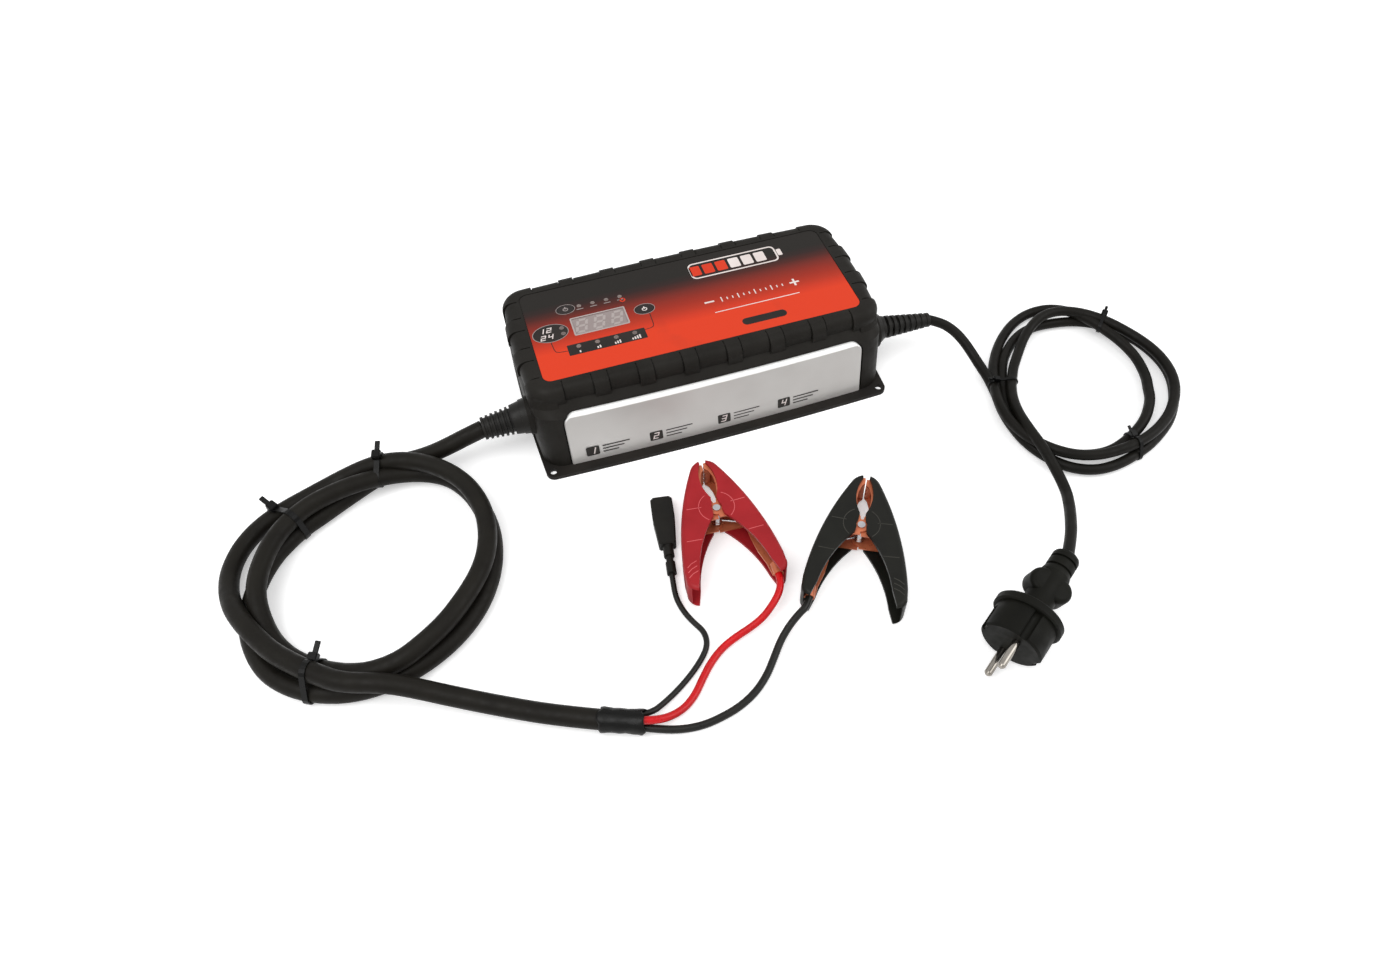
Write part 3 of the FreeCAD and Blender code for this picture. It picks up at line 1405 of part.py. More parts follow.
def plug_body():
    low = plug_neck - plug_ring_deep
    tail = [(x, plug_neck - slimmer) for x, slimmer in plug_tail]
    for x in plug_rings:
        tail += [(x, plug_neck), (x + plug_slope, low), (x + plug_ring_wide, low),
                 (x + plug_ring_wide + plug_slope, plug_neck)]
    tail.append((plug_rings[-1] + plug_swell, plug_grip))
    tail += [(rim_x - back, plug_grip + rise) for back, rise in plug_flare]
    tail += [(rim_x - plug_rim_bevel, plug_rim - plug_rim_bevel), (rim_x, plug_rim),
             (rim_x + rim_thick, plug_rim), (rim_x + rim_thick + plug_rim_bevel, plug_rim - plug_rim_bevel)]
    handle = turned(tail)
    nose = turned([(rim_x + merge, plug_radius), (plug_long - plug_edge, plug_radius),
                   (plug_long, plug_radius - plug_edge)])
    lobes = []
    for side in (-1, 1):
        lobe = rod(V(plug_lobe_x, side * plug_lobe_y, -plug_lobe), V(0, 0, 2 * plug_lobe), plug_lobe)
        ends = [e for e in lobe.Edges if e.BoundBox.ZLength < 1e-3]
        lobes.append(lobe.makeFillet(plug_lobe_round, ends))
    body = joined([handle, nose] + lobes)
    for side in (-1, 1):
        y0, y1 = sorted((side * plug_radius, side * (plug_radius - earth_deep)))
        body = body.cut(box(plug_long - earth_long, y0, -earth_wide / 2, plug_long + merge, y1, earth_wide / 2))
        body = body.cut(rod(V(rim_x + rim_thick + merge, 0, side * (plug_radius + groove_out)),
                            V(plug_long - rim_x, 0, 0), groove_wide / 2))
    for side in (-1, 1):
        body = body.cut(rod(V(plug_long - plug_pin_set - slip, 0, side * pin_spacing / 2),
                            V(plug_pin_set + through, 0, 0), plug_pin_root + slip))
    return aimed(body, plug_back, plug_face - plug_back, plug_roll)


def plug_pins():
    found = []
    for side in (-1, 1):
        full = plug_pin_dia / 2
        end = plug_long + plug_pin_long
        profile = [(plug_long - plug_pin_set, plug_pin_root), (plug_long + plug_pin_gap, plug_pin_root),
                   (plug_long + plug_pin_gap, full), (end - plug_pin_tip, full),
                   (end - 0.3 * plug_pin_tip, 0.7 * full), (end, 0.4 * full)]
        pin = turned(profile)
        pin.translate(V(0, 0, side * pin_spacing / 2))
        found.append(aimed(pin, plug_back, plug_face - plug_back, plug_roll))
    return Part.makeCompound(found)


def plug_earth_contacts():
    found = []
    for side in (-1, 1):
        floor = side * (plug_radius - earth_deep)
        y0, y1 = sorted((floor, floor + side * earth_thick))
        strip = box(plug_long - earth_long + slip, y0, -earth_wide / 2 + slip, plug_long - earth_set, y1,
                    earth_wide / 2 - slip)
        found.append(aimed(strip, plug_back, plug_face - plug_back, plug_roll))
    return Part.makeCompound(found)


def coil_ties(origin, turns, outer_of, inner_of, top):
    found = []
    for turn in turns:
        swing = math.degrees(tie_wide / 2 / inner_of(turn))
        near = min(inner_of(turn - swing), inner_of(turn + swing))
        far = max(outer_of(turn - swing), outer_of(turn + swing))
        found.append(cable_tie(origin, turn, near, far, top))
    return Part.makeCompound(found)


def output_outer(turn):
    return output_coil_outer


def output_inner(turn):
    return reach(output_hole_at, output_hole, output_hole, 0, output_coil_at, turn)


def mains_outer(turn):
    return reach(mains_coil_at, mains_coil_long, mains_coil_wide, mains_coil_turn, mains_coil_at, turn)


def mains_inner(turn):
    return reach(mains_hole_at, mains_hole_long, mains_hole_wide, mains_coil_turn, mains_coil_at, turn)


lower_leds, upper_leds_at, volt_leds = led_spots()
main_screw_spots = [(x, y) for x in (-main_screw_x, main_screw_x) for y in (-screw_y, screw_y)]

nodes = {
    "base_plate": base_plate(),
    "upper_housing": upper_housing(),
    "front_label_plate": label_plate(),
    "top_overlay": overlay(),
    "display_window": display_window(),
    "digit_display": digit_module(),
    "bar_leds": leds(lower_leds),
    "upper_leds": leds(upper_leds_at),
    "voltage_leds": leds(volt_leds),
    "mode_button": key(mode_key_x, mode_key_y, 1.0),
    "display_button": key(menu_key_x, menu_key_y, menu_key_scale),
    "tact_switches": tact_switches(),
    "control_board": control_board(),
    "control_board_screws": board_screws(post_spots(), control_z, 1),
    "control_ribbon": control_ribbon(),
    "main_board": main_board(),
    "main_board_screws": board_screws(main_screw_spots, board_top, -1),
    "transformer_core": transformer_core(),
    "transformer_winding": transformer_winding(),
    "input_capacitor": capacitor(capacitor_x, capacitor_y, capacitor_radius, capacitor_high),
    "output_capacitors": output_capacitors(),
    "heatsink": heatsink(),
    "power_transistors": power_transistors(),
    "fuse": fuse(),
    "case_screws": case_screws(),
    "output_gland": output_gland(),
    "mains_strain_relief": mains_strain_relief(),
    "gland_nuts": gland_nuts(),
    "inner_leads": inner_leads(),
    "output_lead_inlet": cord_tube(output_inlet, output_dia, "output inlet"),
    "output_coil": output_coil(),
    "output_lead_outlet": cord_tube(output_outlet, output_dia, "output outlet"),
    "breakout_sleeve": sleeve(),
    "sensor_lead": cord_tube(sensor_route, sensor_dia, "sensor lead"),
    "red_lead": cord_tube(red_route, red_dia, "red lead"),
    "black_lead": cord_tube(black_route, black_dia, "black lead"),
    "sensor_probe": sensor_probe(),
    "sensor_ferrule": sensor_ferrule(),
    "mains_lead_inlet": cord_tube(mains_inlet, mains_dia, "mains inlet"),
    "mains_coil": mains_coil(),
    "mains_lead_outlet": cord_tube(mains_outlet, mains_dia, "mains outlet"),
    "plug_body": plug_body(),
    "plug_pins": plug_pins(),
    "plug_earth_contacts": plug_earth_contacts(),
    "output_cable_ties": coil_ties(output_coil_at, output_tie_turns, output_outer, output_inner,
                                   output_coil_top),
    "mains_cable_ties": coil_ties(mains_coil_at, mains_tie_turns, mains_outer, mains_inner,
                                  mains_coil_top),
}
nodes.update(clamp("red_clamp", red_pivot, red_turn, 1, red_route))
nodes.update(clamp("black_clamp", black_pivot, black_turn, -1, black_route))

for name, shape in nodes.items():
    if not shape.isValid():
        print("invalid", name)
    shape.exportStep("parts/" + name + ".step")
print(len(nodes), "nodes")
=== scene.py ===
import math
import random
import bmesh
import bpy
from mathutils import Matrix, Vector


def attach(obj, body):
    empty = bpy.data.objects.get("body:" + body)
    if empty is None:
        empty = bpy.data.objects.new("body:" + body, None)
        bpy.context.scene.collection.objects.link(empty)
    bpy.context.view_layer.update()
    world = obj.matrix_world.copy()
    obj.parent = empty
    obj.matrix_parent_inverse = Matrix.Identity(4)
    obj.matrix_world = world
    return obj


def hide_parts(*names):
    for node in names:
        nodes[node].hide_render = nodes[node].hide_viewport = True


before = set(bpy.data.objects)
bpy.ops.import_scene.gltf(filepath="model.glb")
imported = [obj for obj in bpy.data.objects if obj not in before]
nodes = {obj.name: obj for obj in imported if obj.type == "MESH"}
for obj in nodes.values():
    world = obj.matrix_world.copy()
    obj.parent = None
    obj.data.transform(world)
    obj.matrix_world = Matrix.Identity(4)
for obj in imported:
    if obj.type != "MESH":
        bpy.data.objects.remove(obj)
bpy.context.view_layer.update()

MM = 0.001

# Camera: the photograph's pinhole, solved from the two front mounting holes and from the
# corners of the film and of the label plate
photo_wide = 1400       # pixels
focal_pixels = 956.7
sensor = 36.0
eye = Vector((-136.27, -489.46, 509.59)) * MM
yaw = math.radians(15.88)
pitch = math.radians(52.01)
roll = math.radians(-2.46)
clip_near = 0.01
clip_far = 20.0


def add_camera():
    ahead = Vector((math.sin(yaw) * math.cos(pitch), math.cos(yaw) * math.cos(pitch),
                    -math.sin(pitch)))
    right = Vector((math.cos(yaw), -math.sin(yaw), 0))
    up = right.cross(ahead)
    right_rolled = right * math.cos(roll) + up * math.sin(roll)
    up_rolled = up * math.cos(roll) - right * math.sin(roll)
    data = bpy.data.cameras.new("camera")
    data.sensor_width = sensor
    data.lens = focal_pixels / photo_wide * sensor
    data.clip_start = clip_near
    data.clip_end = clip_far
    camera = bpy.data.objects.new("camera", data)
    axes = Matrix((right_rolled, up_rolled, -ahead)).transposed().to_4x4()
    camera.matrix_world = Matrix.Translation(eye) @ axes
    bpy.context.scene.collection.objects.link(camera)
    bpy.context.scene.camera = camera


add_camera()

# Diameters of the cords, in millimetres
output_dia = 12.0
mains_dia = 7.2
sensor_dia = 3.6
battery_dia = 4.6

# Routes of the cords on the floor, in millimetres
output_inlet = [(-158.0, -38.0, 27.4), (-169.6, -39.3, 25.2), (-181.2, -39.4, 21.2),
                (-192.6, -38.0, 16.4), (-203.4, -35.8, 12.4), (-213.6, -33.2, 9.8)]
output_outlet = [(-246.0, -201.0, 20.5), (-233.0, -205.8, 17.0), (-208.0, -218.0, 10.4),
                 (-182.0, -231.6, 7.2), (-156.0, -245.6, 7.2), (-132.0, -256.4, 7.4)]
sensor_route = [(-112.4, -260.0, 7.8), (-105.2, -260.6, 6.8), (-97.6, -256.6, 4.4),
                (-88.2, -250.9, 2.3), (-78.0, -244.1, 1.9), (-68.4, -236.2, 1.9),
                (-61.6, -228.2, 2.0), (-60.4, -218.8, 1.9), (-65.2, -209.8, 1.9),
                (-68.6, -200.2, 2.0), (-69.9, -190.8, 2.6), (-68.7, -181.2, 3.9),
                (-66.3, -167.4, 4.5)]
red_route = [(-113.6, -264.5, 10.7), (-104.0, -267.0, 9.2), (-94.3, -265.6, 5.6),
             (-85.7, -261.9, 3.1), (-78.1, -256.1, 2.5), (-71.1, -247.9, 2.5),
             (-63.3, -239.6, 2.6), (-54.0, -232.8, 3.0), (-43.8, -229.0, 4.0),
             (-34.2, -226.8, 5.6), (-25.0, -223.9, 8.0), (-16.9, -218.4, 10.2),
             (-10.9, -212.6, 11.0), (-7.3, -206.3, 11.0), (-6.3, -199.3, 11.0)]
black_route = [(-114.1, -265.8, 5.1), (-103.6, -270.4, 4.2), (-92.0, -273.8, 2.8),
               (-79.6, -275.2, 2.4), (-67.4, -273.8, 2.5), (-55.8, -270.9, 2.4),
               (-44.7, -265.5, 2.4), (-35.1, -257.7, 2.5), (-27.4, -248.8, 3.4),
               (-20.2, -240.4, 5.4), (-12.4, -234.2, 8.2), (-4.8, -229.8, 10.4),
               (1.2, -226.9, 11.0), (5.4, -220.9, 11.0)]
mains_inlet = [(169.4, -40.2, 27.4), (177.9, -44.0, 25.4), (184.9, -50.3, 22.0),
               (190.0, -58.8, 17.4), (193.0, -68.8, 12.5), (194.6, -80.2, 9.0),
               (195.2, -90.2, 7.9)]
mains_outlet = [(193.7, -197.0, 9.5), (186.2, -212.0, 14.0), (177.0, -226.4, 19.6),
                (167.2, -240.2, 24.6), (156.8, -252.6, 26.8)]

# Turns of the two coils, followed counter-clockwise from above. Each turn is named by
# places on it: degrees about the coil's centre, millimetres out from it, and height.
output_centre = (-250.0, -112.0)
output_turns = [(78, 74, 7.5), (95, 61, 7.2), (115, 57, 7), (138, 58.8, 7), (167, 64.5, 7),
                (202, 76, 7), (226, 82.9, 7), (255, 84, 7), (297, 81.2, 7), (338, 80.8, 7),
                (375, 82, 7), (400, 85, 7), (417, 80, 8), (433, 71, 12), (445, 63, 18),
                (460, 59.5, 19.5), (490, 60, 19), (520, 60, 19), (543, 63, 17.5), (560, 65, 11),
                (573, 67, 7.5), (600, 69, 7.5), (613, 72, 10), (627, 78, 16), (640, 80, 18.5),
                (656, 76.5, 19), (681, 75.3, 19.5), (703, 78.8, 19.5), (727, 81.1, 19.5),
                (753, 82.5, 19.5), (777, 81, 19.5), (792, 80, 18), (805, 79, 12.5), (819, 77.5, 8),
                (834, 77, 7.5), (848, 80.1, 7.5), (862, 84.5, 7.5), (877, 86, 7.5), (889, 83, 9.5),
                (901, 79, 14), (912, 75, 18.4), (927, 72, 19.2), (952, 73.5, 20),
                (967, 78, 20.5), (980, 85, 21)]
mains_centre = (257.0, -114.0)
mains_turns = [(173, 63.5, 6), (194, 68.8, 5), (208, 74.8, 5), (231, 83, 5), (243, 83, 5),
               (256, 77.5, 5), (272, 69.8, 5), (295, 64.8, 5), (322, 63.4, 5), (350, 65.6, 5),
               (375, 65.6, 5), (399, 65.3, 5), (417, 64.4, 5), (437, 61.4, 5), (458, 61, 5),
               (485, 56.5, 5), (508, 54.8, 5), (524, 55.5, 5), (540, 60, 5), (555, 66, 5),
               (572, 70.5, 5), (592, 71.2, 5), (611, 67.5, 5), (622, 63, 6), (633, 58, 8.5),
               (647, 53.5, 10), (664, 48.8, 10), (689, 45.3, 8), (709, 46.5, 7), (740, 49, 10),
               (756, 50.8, 12), (769, 56, 12), (779, 62.8, 12), (788, 70, 10), (797, 75.2, 7.5),
               (807, 76.2, 5.5), (817, 73.5, 5), (828, 68.8, 5), (842, 64.5, 5), (860, 61.5, 5),
               (880, 61.4, 6.5), (898, 66.5, 11), (914, 73.2, 12), (933, 77, 12), (950, 77.8, 12),
               (963, 75.5, 12), (977, 70.6, 12), (993, 66.3, 12), (1015, 63, 12), (1038, 62, 12),
               (1062, 62.5, 12), (1088, 61.2, 12), (1105, 59, 13), (1121, 59.5, 14.5),
               (1138, 64, 13.5), (1152, 66, 13.5), (1166, 62.5, 15), (1182, 55.5, 13.5),
               (1201, 48.8, 10.5), (1219, 46.9, 9), (1240, 48.9, 9), (1258, 55, 10.5),
               (1273, 62.6, 13), (1286, 70.8, 15.5), (1296, 78.5, 16), (1304, 86, 14)]
turn_step = 12.0


def metres(point):
    return tuple(value * MM for value in point)


def coil_points(centre, turns):
    points = []
    first = turns[0][0]
    steps = int((turns[-1][0] - first) / turn_step)
    for i in range(steps + 1):
        angle = first + i * turn_step
        for before, after in zip(turns, turns[1:]):
            if before[0] <= angle <= after[0]:
                share = (angle - before[0]) / (after[0] - before[0])
                out = before[1] + share * (after[1] - before[1])
                height = before[2] + share * (after[2] - before[2])
        a = math.radians(angle)
        points.append((centre[0] + out * math.cos(a), centre[1] + out * math.sin(a), height))
    return points


def add_cord(name, points, diameter):
    # Each point's radius is the cord's own, because the curve's bevel is 1.
    curve = bpy.data.curves.new(name, "CURVE")
    curve.dimensions = "3D"
    curve.resolution_u = 8
    curve.bevel_depth = 1.0
    curve.bevel_resolution = 6
    curve.use_fill_caps = True
    spline = curve.splines.new("NURBS")
    spline.points.add(len(points) - 1)
    for control, point in zip(spline.points, points):
        control.co = (*metres(point), 1.0)
        control.radius = diameter / 2 * MM
    spline.order_u = 3
    spline.use_endpoint_u = True
    cord = bpy.data.objects.new(name, curve)
    bpy.context.scene.collection.objects.link(cord)
    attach(cord, "root")
    return cord


output_points = output_inlet + coil_points(output_centre, output_turns) + output_outlet
mains_points = mains_inlet + coil_points(mains_centre, mains_turns) + mains_outlet
output_lead = add_cord("output_lead", output_points, output_dia)
mains_lead = add_cord("mains_lead", mains_points, mains_dia)
sensor_lead = add_cord("sensor_cord", sensor_route, sensor_dia)
red_lead = add_cord("red_cord", red_route, battery_dia)
black_lead = add_cord("black_cord", black_route, battery_dia)


# Materials. Noise scales are in waves a metre.

def linear(colour):
    # From 8-bit display values to the scene's linear ones.
    found = []
    for value in colour:
        v = value / 255
        found.append(v / 12.92 if v <= 0.04045 else ((v + 0.055) / 1.055) ** 2.4)
    return (*found, 1.0)


noise_reach = (0.3, 0.7)    # the values that a noise seldom leaves
colour_detail = 3.0
surface_detail = 2.0


class Finish:
    # One material and the few node chains that its surfaces share.

    def __init__(self, name, colour, rough, metal=0.0, specular=0.12):
        self.material = bpy.data.materials.new(name)
        self.material.use_nodes = True
        self.tree = self.material.node_tree
        self.shader = self.tree.nodes["Principled BSDF"]
        self.set("Base Color", linear(colour))
        self.set("Roughness", rough)
        self.set("Metallic", metal)
        self.set("Specular IOR Level", specular)
        self.colour = linear(colour)
        self.bumps = None
        self.place = self.node("ShaderNodeTexCoord").outputs["Object"]

    def set(self, socket, value):
        self.shader.inputs[socket].default_value = value

    def node(self, kind, **settings):
        made = self.tree.nodes.new(kind)
        for key, value in settings.items():
            setattr(made, key, value)
        return made

    def link(self, out, into):
        self.tree.links.new(out, into)

    def noise(self, scale, detail, stretch=None):
        place = self.place
        if stretch:
            mapping = self.node("ShaderNodeMapping")
            mapping.inputs["Scale"].default_value = stretch
            self.link(place, mapping.inputs["Vector"])
            place = mapping.outputs["Vector"]
        texture = self.node("ShaderNodeTexNoise")
        texture.inputs["Scale"].default_value = scale
        texture.inputs["Detail"].default_value = detail
        self.link(place, texture.inputs["Vector"])
        return texture.outputs["Fac"]

    def ramp(self, value, low, high, low_out=0.0, high_out=1.0):
        made = self.node("ShaderNodeMapRange")
        made.inputs["From Min"].default_value = low
        made.inputs["From Max"].default_value = high
        made.inputs["To Min"].default_value = low_out
        made.inputs["To Max"].default_value = high_out
        self.link(value, made.inputs["Value"])
        return made.outputs["Result"]

    def mix(self, factor, first, second):
        made = self.node("ShaderNodeMix", data_type="RGBA")
        self.link(factor, made.inputs["Factor"])
        for socket, value in ((made.inputs[6], first), (made.inputs[7], second)):
            if isinstance(value, tuple):
                socket.default_value = value
            else:
                self.link(value, socket)
        return made.outputs[2]

    def mottle(self, scale, other, low=0.35, high=0.65):
        # The colour wanders towards another one.
        amount = self.ramp(self.noise(scale, colour_detail), low, high)
        out = self.mix(amount, self.colour, linear(other))
        self.link(out, self.shader.inputs["Base Color"])
        self.colour = out

    def polish(self, scale, low, high, stretch=None):
        # Roughness that wanders between two values.
        out = self.ramp(self.noise(scale, surface_detail, stretch), *noise_reach, low, high)
        self.link(out, self.shader.inputs["Roughness"])

    def grain(self, scale, depth, strength, stretch=None):
        # Bumps of a given depth in millimetres, on top of what was there before.
        bump = self.node("ShaderNodeBump")
        bump.inputs["Strength"].default_value = strength
        bump.inputs["Distance"].default_value = depth * MM
        self.link(self.noise(scale, surface_detail, stretch), bump.inputs["Height"])
        if self.bumps is not None:
            self.link(self.bumps, bump.inputs["Normal"])
        self.bumps = bump.outputs["Normal"]
        self.link(self.bumps, self.shader.inputs["Normal"])


def moulded(name, colour, other, rough, grain_scale=2600, grain_depth=0.06, specular=0.12):
    # Plastic: a fine grain, and a colour that wanders a little.
    finish = Finish(name, colour, rough, specular=specular)
    finish.mottle(38, other)
    finish.polish(160, rough - 0.07, rough + 0.1)
    finish.grain(grain_scale, grain_depth, 0.5)
    return finish


def sheath(name, colour, other, rough, specular):
    # Extruded rubber: a soft bloom and a coarser grain.
    finish = Finish(name, colour, rough, specular=specular)
    finish.mottle(60, other, 0.3, 0.7)
    finish.polish(220, rough - 0.08, rough + 0.12)
    finish.grain(900, 0.05, 0.4)
    return finish


def polished_metal(name, colour, rough, other, metal=1.0):
    finish = Finish(name, colour, rough, metal=metal, specular=0.5)
    finish.mottle(120, other)
    finish.polish(500, rough * 0.7, rough * 1.4)
    finish.grain(1500, 0.008, 0.3)
    return finish


case_plastic = moulded("case_plastic", (28, 26, 23), (34, 32, 29), 0.5, specular=0.1)
base_plastic = moulded("base_plastic", (30, 28, 26), (36, 33, 30), 0.55)
gland_rubber = moulded("gland_rubber", (24, 23, 21), (31, 29, 26), 0.45, 1400, 0.05, 0.18)
nut_plastic = moulded("nut_plastic", (38, 38, 38), (46, 46, 45), 0.5)
output_rubber = sheath("output_sheath", (22, 20, 17), (29, 27, 23), 0.46, 0.1)
mains_rubber = sheath("mains_sheath", (17, 16, 13), (24, 22, 19), 0.44, 0.1)
black_wire = sheath("black_wire", (18, 18, 16), (26, 25, 22), 0.34, 0.22)
red_wire = sheath("red_wire", (206, 12, 20), (188, 9, 17), 0.28, 0.3)
sleeve_rubber = sheath("sleeve", (10, 10, 9), (17, 17, 16), 0.3, 0.14)
sensor_plastic = moulded("sensor_plastic", (24, 23, 21), (31, 30, 27), 0.5)
tie_nylon = moulded("tie_nylon", (8, 8, 8), (15, 15, 14), 0.3, 1800, 0.03, 0.14)
red_grip = moulded("red_grip", (162, 32, 38), (148, 26, 32), 0.44, 1800, 0.04, 0.2)
black_grip = moulded("black_grip", (21, 21, 18), (28, 28, 24), 0.4, 1800, 0.04, 0.14)
plug_rubber = moulded("plug_rubber", (15, 15, 12), (21, 21, 17), 0.5, 1500, 0.05, 0.08)
copper = polished_metal("copper", (206, 118, 80), 0.38, (192, 104, 70), 0.3)
steel = polished_metal("steel", (196, 196, 198), 0.16, (176, 176, 180))
nickel = polished_metal("nickel", (150, 145, 138), 0.13, (126, 121, 114))
# The earth contacts are coloured dark grey as painted shade of the deep slots they sit in, not as
# their metal's own colour
earth_contact_painted_shade = polished_metal("earth_contact_painted_shade", (58, 56, 52), 0.35, (46, 44, 41))
board_green = moulded("circuit_board", (22, 92, 52), (18, 76, 44), 0.4)
switch_plastic = moulded("switch_plastic", (32, 32, 32), (40, 40, 40), 0.5)
ribbon_plastic = moulded("ribbon_plastic", (135, 135, 138), (120, 120, 124), 0.5)
ferrite = moulded("ferrite", (52, 52, 54), (64, 63, 62), 0.75)
winding_tape = moulded("winding_tape", (214, 178, 64), (200, 162, 54), 0.42)
can_sleeve = moulded("can_sleeve", (30, 36, 62), (38, 44, 72), 0.35)
aluminium = polished_metal("aluminium", (196, 197, 198), 0.42, (176, 178, 180))
chip_plastic = moulded("chip_plastic", (30, 30, 30), (38, 38, 38), 0.6)
fuse_glass = moulded("fuse_glass", (205, 208, 208), (190, 192, 192), 0.2)
lens = moulded("led_lens", (128, 114, 109), (104, 92, 88), 0.2, 900, 0.02, 0.4)
# Seams and ribs on the clamp covers: a lighter tone of the covers' own plastic, as painted
# highlight on their ridges
seam_red_painted_highlight = moulded("seam_red_painted_highlight", (214, 104, 106), (204, 88, 92), 0.5)
seam_black_painted_highlight = moulded("seam_black_painted_highlight", (66, 65, 60), (56, 55, 51), 0.5)

film_blend = (-20.0, 28.0)  # where the red ends and where the black begins, across the film
film_red = (216, 63, 35)
film_black = (34, 31, 28)
film_steps = ((0.125, (200, 57, 35)), (0.25, (175, 52, 33)), (0.375, (156, 46, 31)),
              (0.5, (138, 43, 31)), (0.625, (114, 40, 32)), (0.75, (76, 34, 29)),
              (0.875, (46, 31, 29)))
# Near white of the painted highlight along the label plate's upward-facing top edge
plate_painted_highlight = (250, 250, 248)
plate_highlight_turn = (0.2, 0.5)     # how far up the label plate's surface faces where the painted highlight along its top starts and where it is full


def label_finish():
    # Brushed plate, with a painted highlight along the top where it turns back.
    finish = Finish("label_plate", (198, 196, 193), 0.36, metal=0.2, specular=0.4)
    finish.mottle(16, (186, 183, 180), 0.35, 0.7)
    facing = finish.node("ShaderNodeNewGeometry")
    split = finish.node("ShaderNodeSeparateXYZ")
    finish.link(facing.outputs["Normal"], split.inputs["Vector"])
    # Painted highlight: the plate's colour turns near white where its surface faces up
    highlight_share = finish.ramp(split.outputs["Z"], *plate_highlight_turn)
    finish.colour = finish.mix(highlight_share, finish.colour, linear(plate_painted_highlight))
    finish.link(finish.colour, finish.shader.inputs["Base Color"])
    finish.polish(900, 0.3, 0.46, stretch=(0.05, 1.0, 1.0))
    finish.grain(2400, 0.02, 0.35, stretch=(0.04, 1.0, 1.0))
    return finish


def film_finish():
    # Printed film: black along the back, red along the front, and a soft blend between.
    finish = Finish("overlay_film", film_red, 0.36)
    split = finish.node("ShaderNodeSeparateXYZ")
    finish.link(finish.place, split.inputs["Vector"])
    share = finish.ramp(split.outputs["Y"], film_blend[0] * MM, film_blend[1] * MM)
    curve = finish.node("ShaderNodeValToRGB")
    curve.color_ramp.elements[0].color = linear(film_red)
    curve.color_ramp.elements[1].color = linear(film_black)
    for place, colour in film_steps:
        curve.color_ramp.elements.new(place).color = linear(colour)
    finish.link(share, curve.inputs["Fac"])
    finish.colour = curve.outputs["Color"]
    finish.mottle(30, (60, 50, 46), 0.62, 1.6)
    finish.polish(400, 0.32, 0.42)
    finish.grain(3000, 0.03, 0.3)
    return finish


overlay_film = film_finish()
window_film = moulded("window", (154, 142, 140), (147, 135, 133), 0.25)
display_plastic = moulded("display", (120, 112, 114), (110, 103, 105), 0.4)
label_metal = label_finish()
key_film = moulded("key_film", (46, 41, 40), (38, 34, 33), 0.34)

finishes = {
    case_plastic: ["upper_housing"],
    base_plastic: ["base_plate"],
    label_metal: ["front_label_plate"],
    overlay_film: ["top_overlay"],
    window_film: ["display_window"],
    display_plastic: ["digit_display"],
    lens: ["bar_leds", "upper_leds", "voltage_leds"],
    key_film: ["mode_button", "display_button"],
    switch_plastic: ["tact_switches"],
    board_green: ["control_board", "main_board"],
    steel: ["control_board_screws", "main_board_screws", "case_screws"],
    ribbon_plastic: ["control_ribbon"],
    ferrite: ["transformer_core"],
    winding_tape: ["transformer_winding"],
    can_sleeve: ["input_capacitor", "output_capacitors"],
    aluminium: ["heatsink"],
    chip_plastic: ["power_transistors"],
    fuse_glass: ["fuse"],
    gland_rubber: ["output_gland", "mains_strain_relief"],
    nut_plastic: ["gland_nuts"],
    black_wire: ["inner_leads"],
    sensor_plastic: ["sensor_probe", "sensor_ferrule"],
    plug_rubber: ["plug_body"],
    nickel: ["plug_pins"],
    earth_contact_painted_shade: ["plug_earth_contacts"],
    red_grip: ["red_clamp_fixed_cover", "red_clamp_moving_cover"],
    black_grip: ["black_clamp_fixed_cover", "black_clamp_moving_cover"],
    copper: [],
}
for side in ("red_clamp_", "black_clamp_"):
    finishes[steel] += [side + "pivot_pin", side + "spring"]
    finishes[copper] += [side + "fixed_jaw", side + "moving_jaw"]
for finish, names in finishes.items():
    for name in names:
        for holder in nodes[name].material_slots:
            holder.material = finish.material

for cord, finish, slot in ((output_lead, output_rubber, "output_cable"),
                           (mains_lead, mains_rubber, "mains_cable"),
                           (sensor_lead, black_wire, "black_wire"),
                           (red_lead, red_wire, "red_wire"),
                           (black_lead, black_wire, "black_wire")):
    cord.data.materials.append(finish.material)

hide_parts("output_lead_inlet", "output_coil", "output_lead_outlet")
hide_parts("mains_lead_inlet", "mains_coil", "mains_lead_outlet")
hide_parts("sensor_lead")
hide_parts("red_lead")
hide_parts("black_lead")


# Shapes that the added pieces share, drawn in millimetres
corner_steps = 6


def add_mesh(name, mesh_maker, finish, body="root"):
    mesh = bpy.data.meshes.new(name)
    shape = bmesh.new()
    mesh_maker(shape)
    bmesh.ops.recalc_face_normals(shape, faces=shape.faces)
    shape.to_mesh(mesh)
    shape.free()
    mesh.materials.append(finish.material)
    piece = bpy.data.objects.new(name, mesh)
    bpy.context.scene.collection.objects.link(piece)
    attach(piece, body)
    return piece


def loop_of(shape, outline, z):
    return [shape.verts.new((x * MM, y * MM, z * MM)) for x, y in outline]


def skin(shape, first, second):
    # Faces between two closed loops of as many points.
    count = len(first)
    for i in range(count):
        j = (i + 1) % count
        shape.faces.new((first[i], first[j], second[j], second[i]))


def slab(shape, outline, z0, z1):
    # Closed flat slab from a list of (x, y) points.
    low = loop_of(shape, outline, z0)
    high = loop_of(shape, outline, z1)
    shape.faces.new(low)
    shape.faces.new(high)
    skin(shape, low, high)


def ring(shape, outer, inner, z0, z1):
    # Closed flat ring between two outlines of as many points.
    loops = [loop_of(shape, outline, z)
             for outline, z in ((outer, z0), (inner, z0), (inner, z1), (outer, z1))]
    for first, second in zip(loops, loops[1:] + loops[:1]):
        skin(shape, first, second)


def oval(x, y, long, wide, count=48):
    turns = [2 * math.pi * i / count for i in range(count)]
    return [(x + long / 2 * math.cos(t), y + wide / 2 * math.sin(t)) for t in turns]


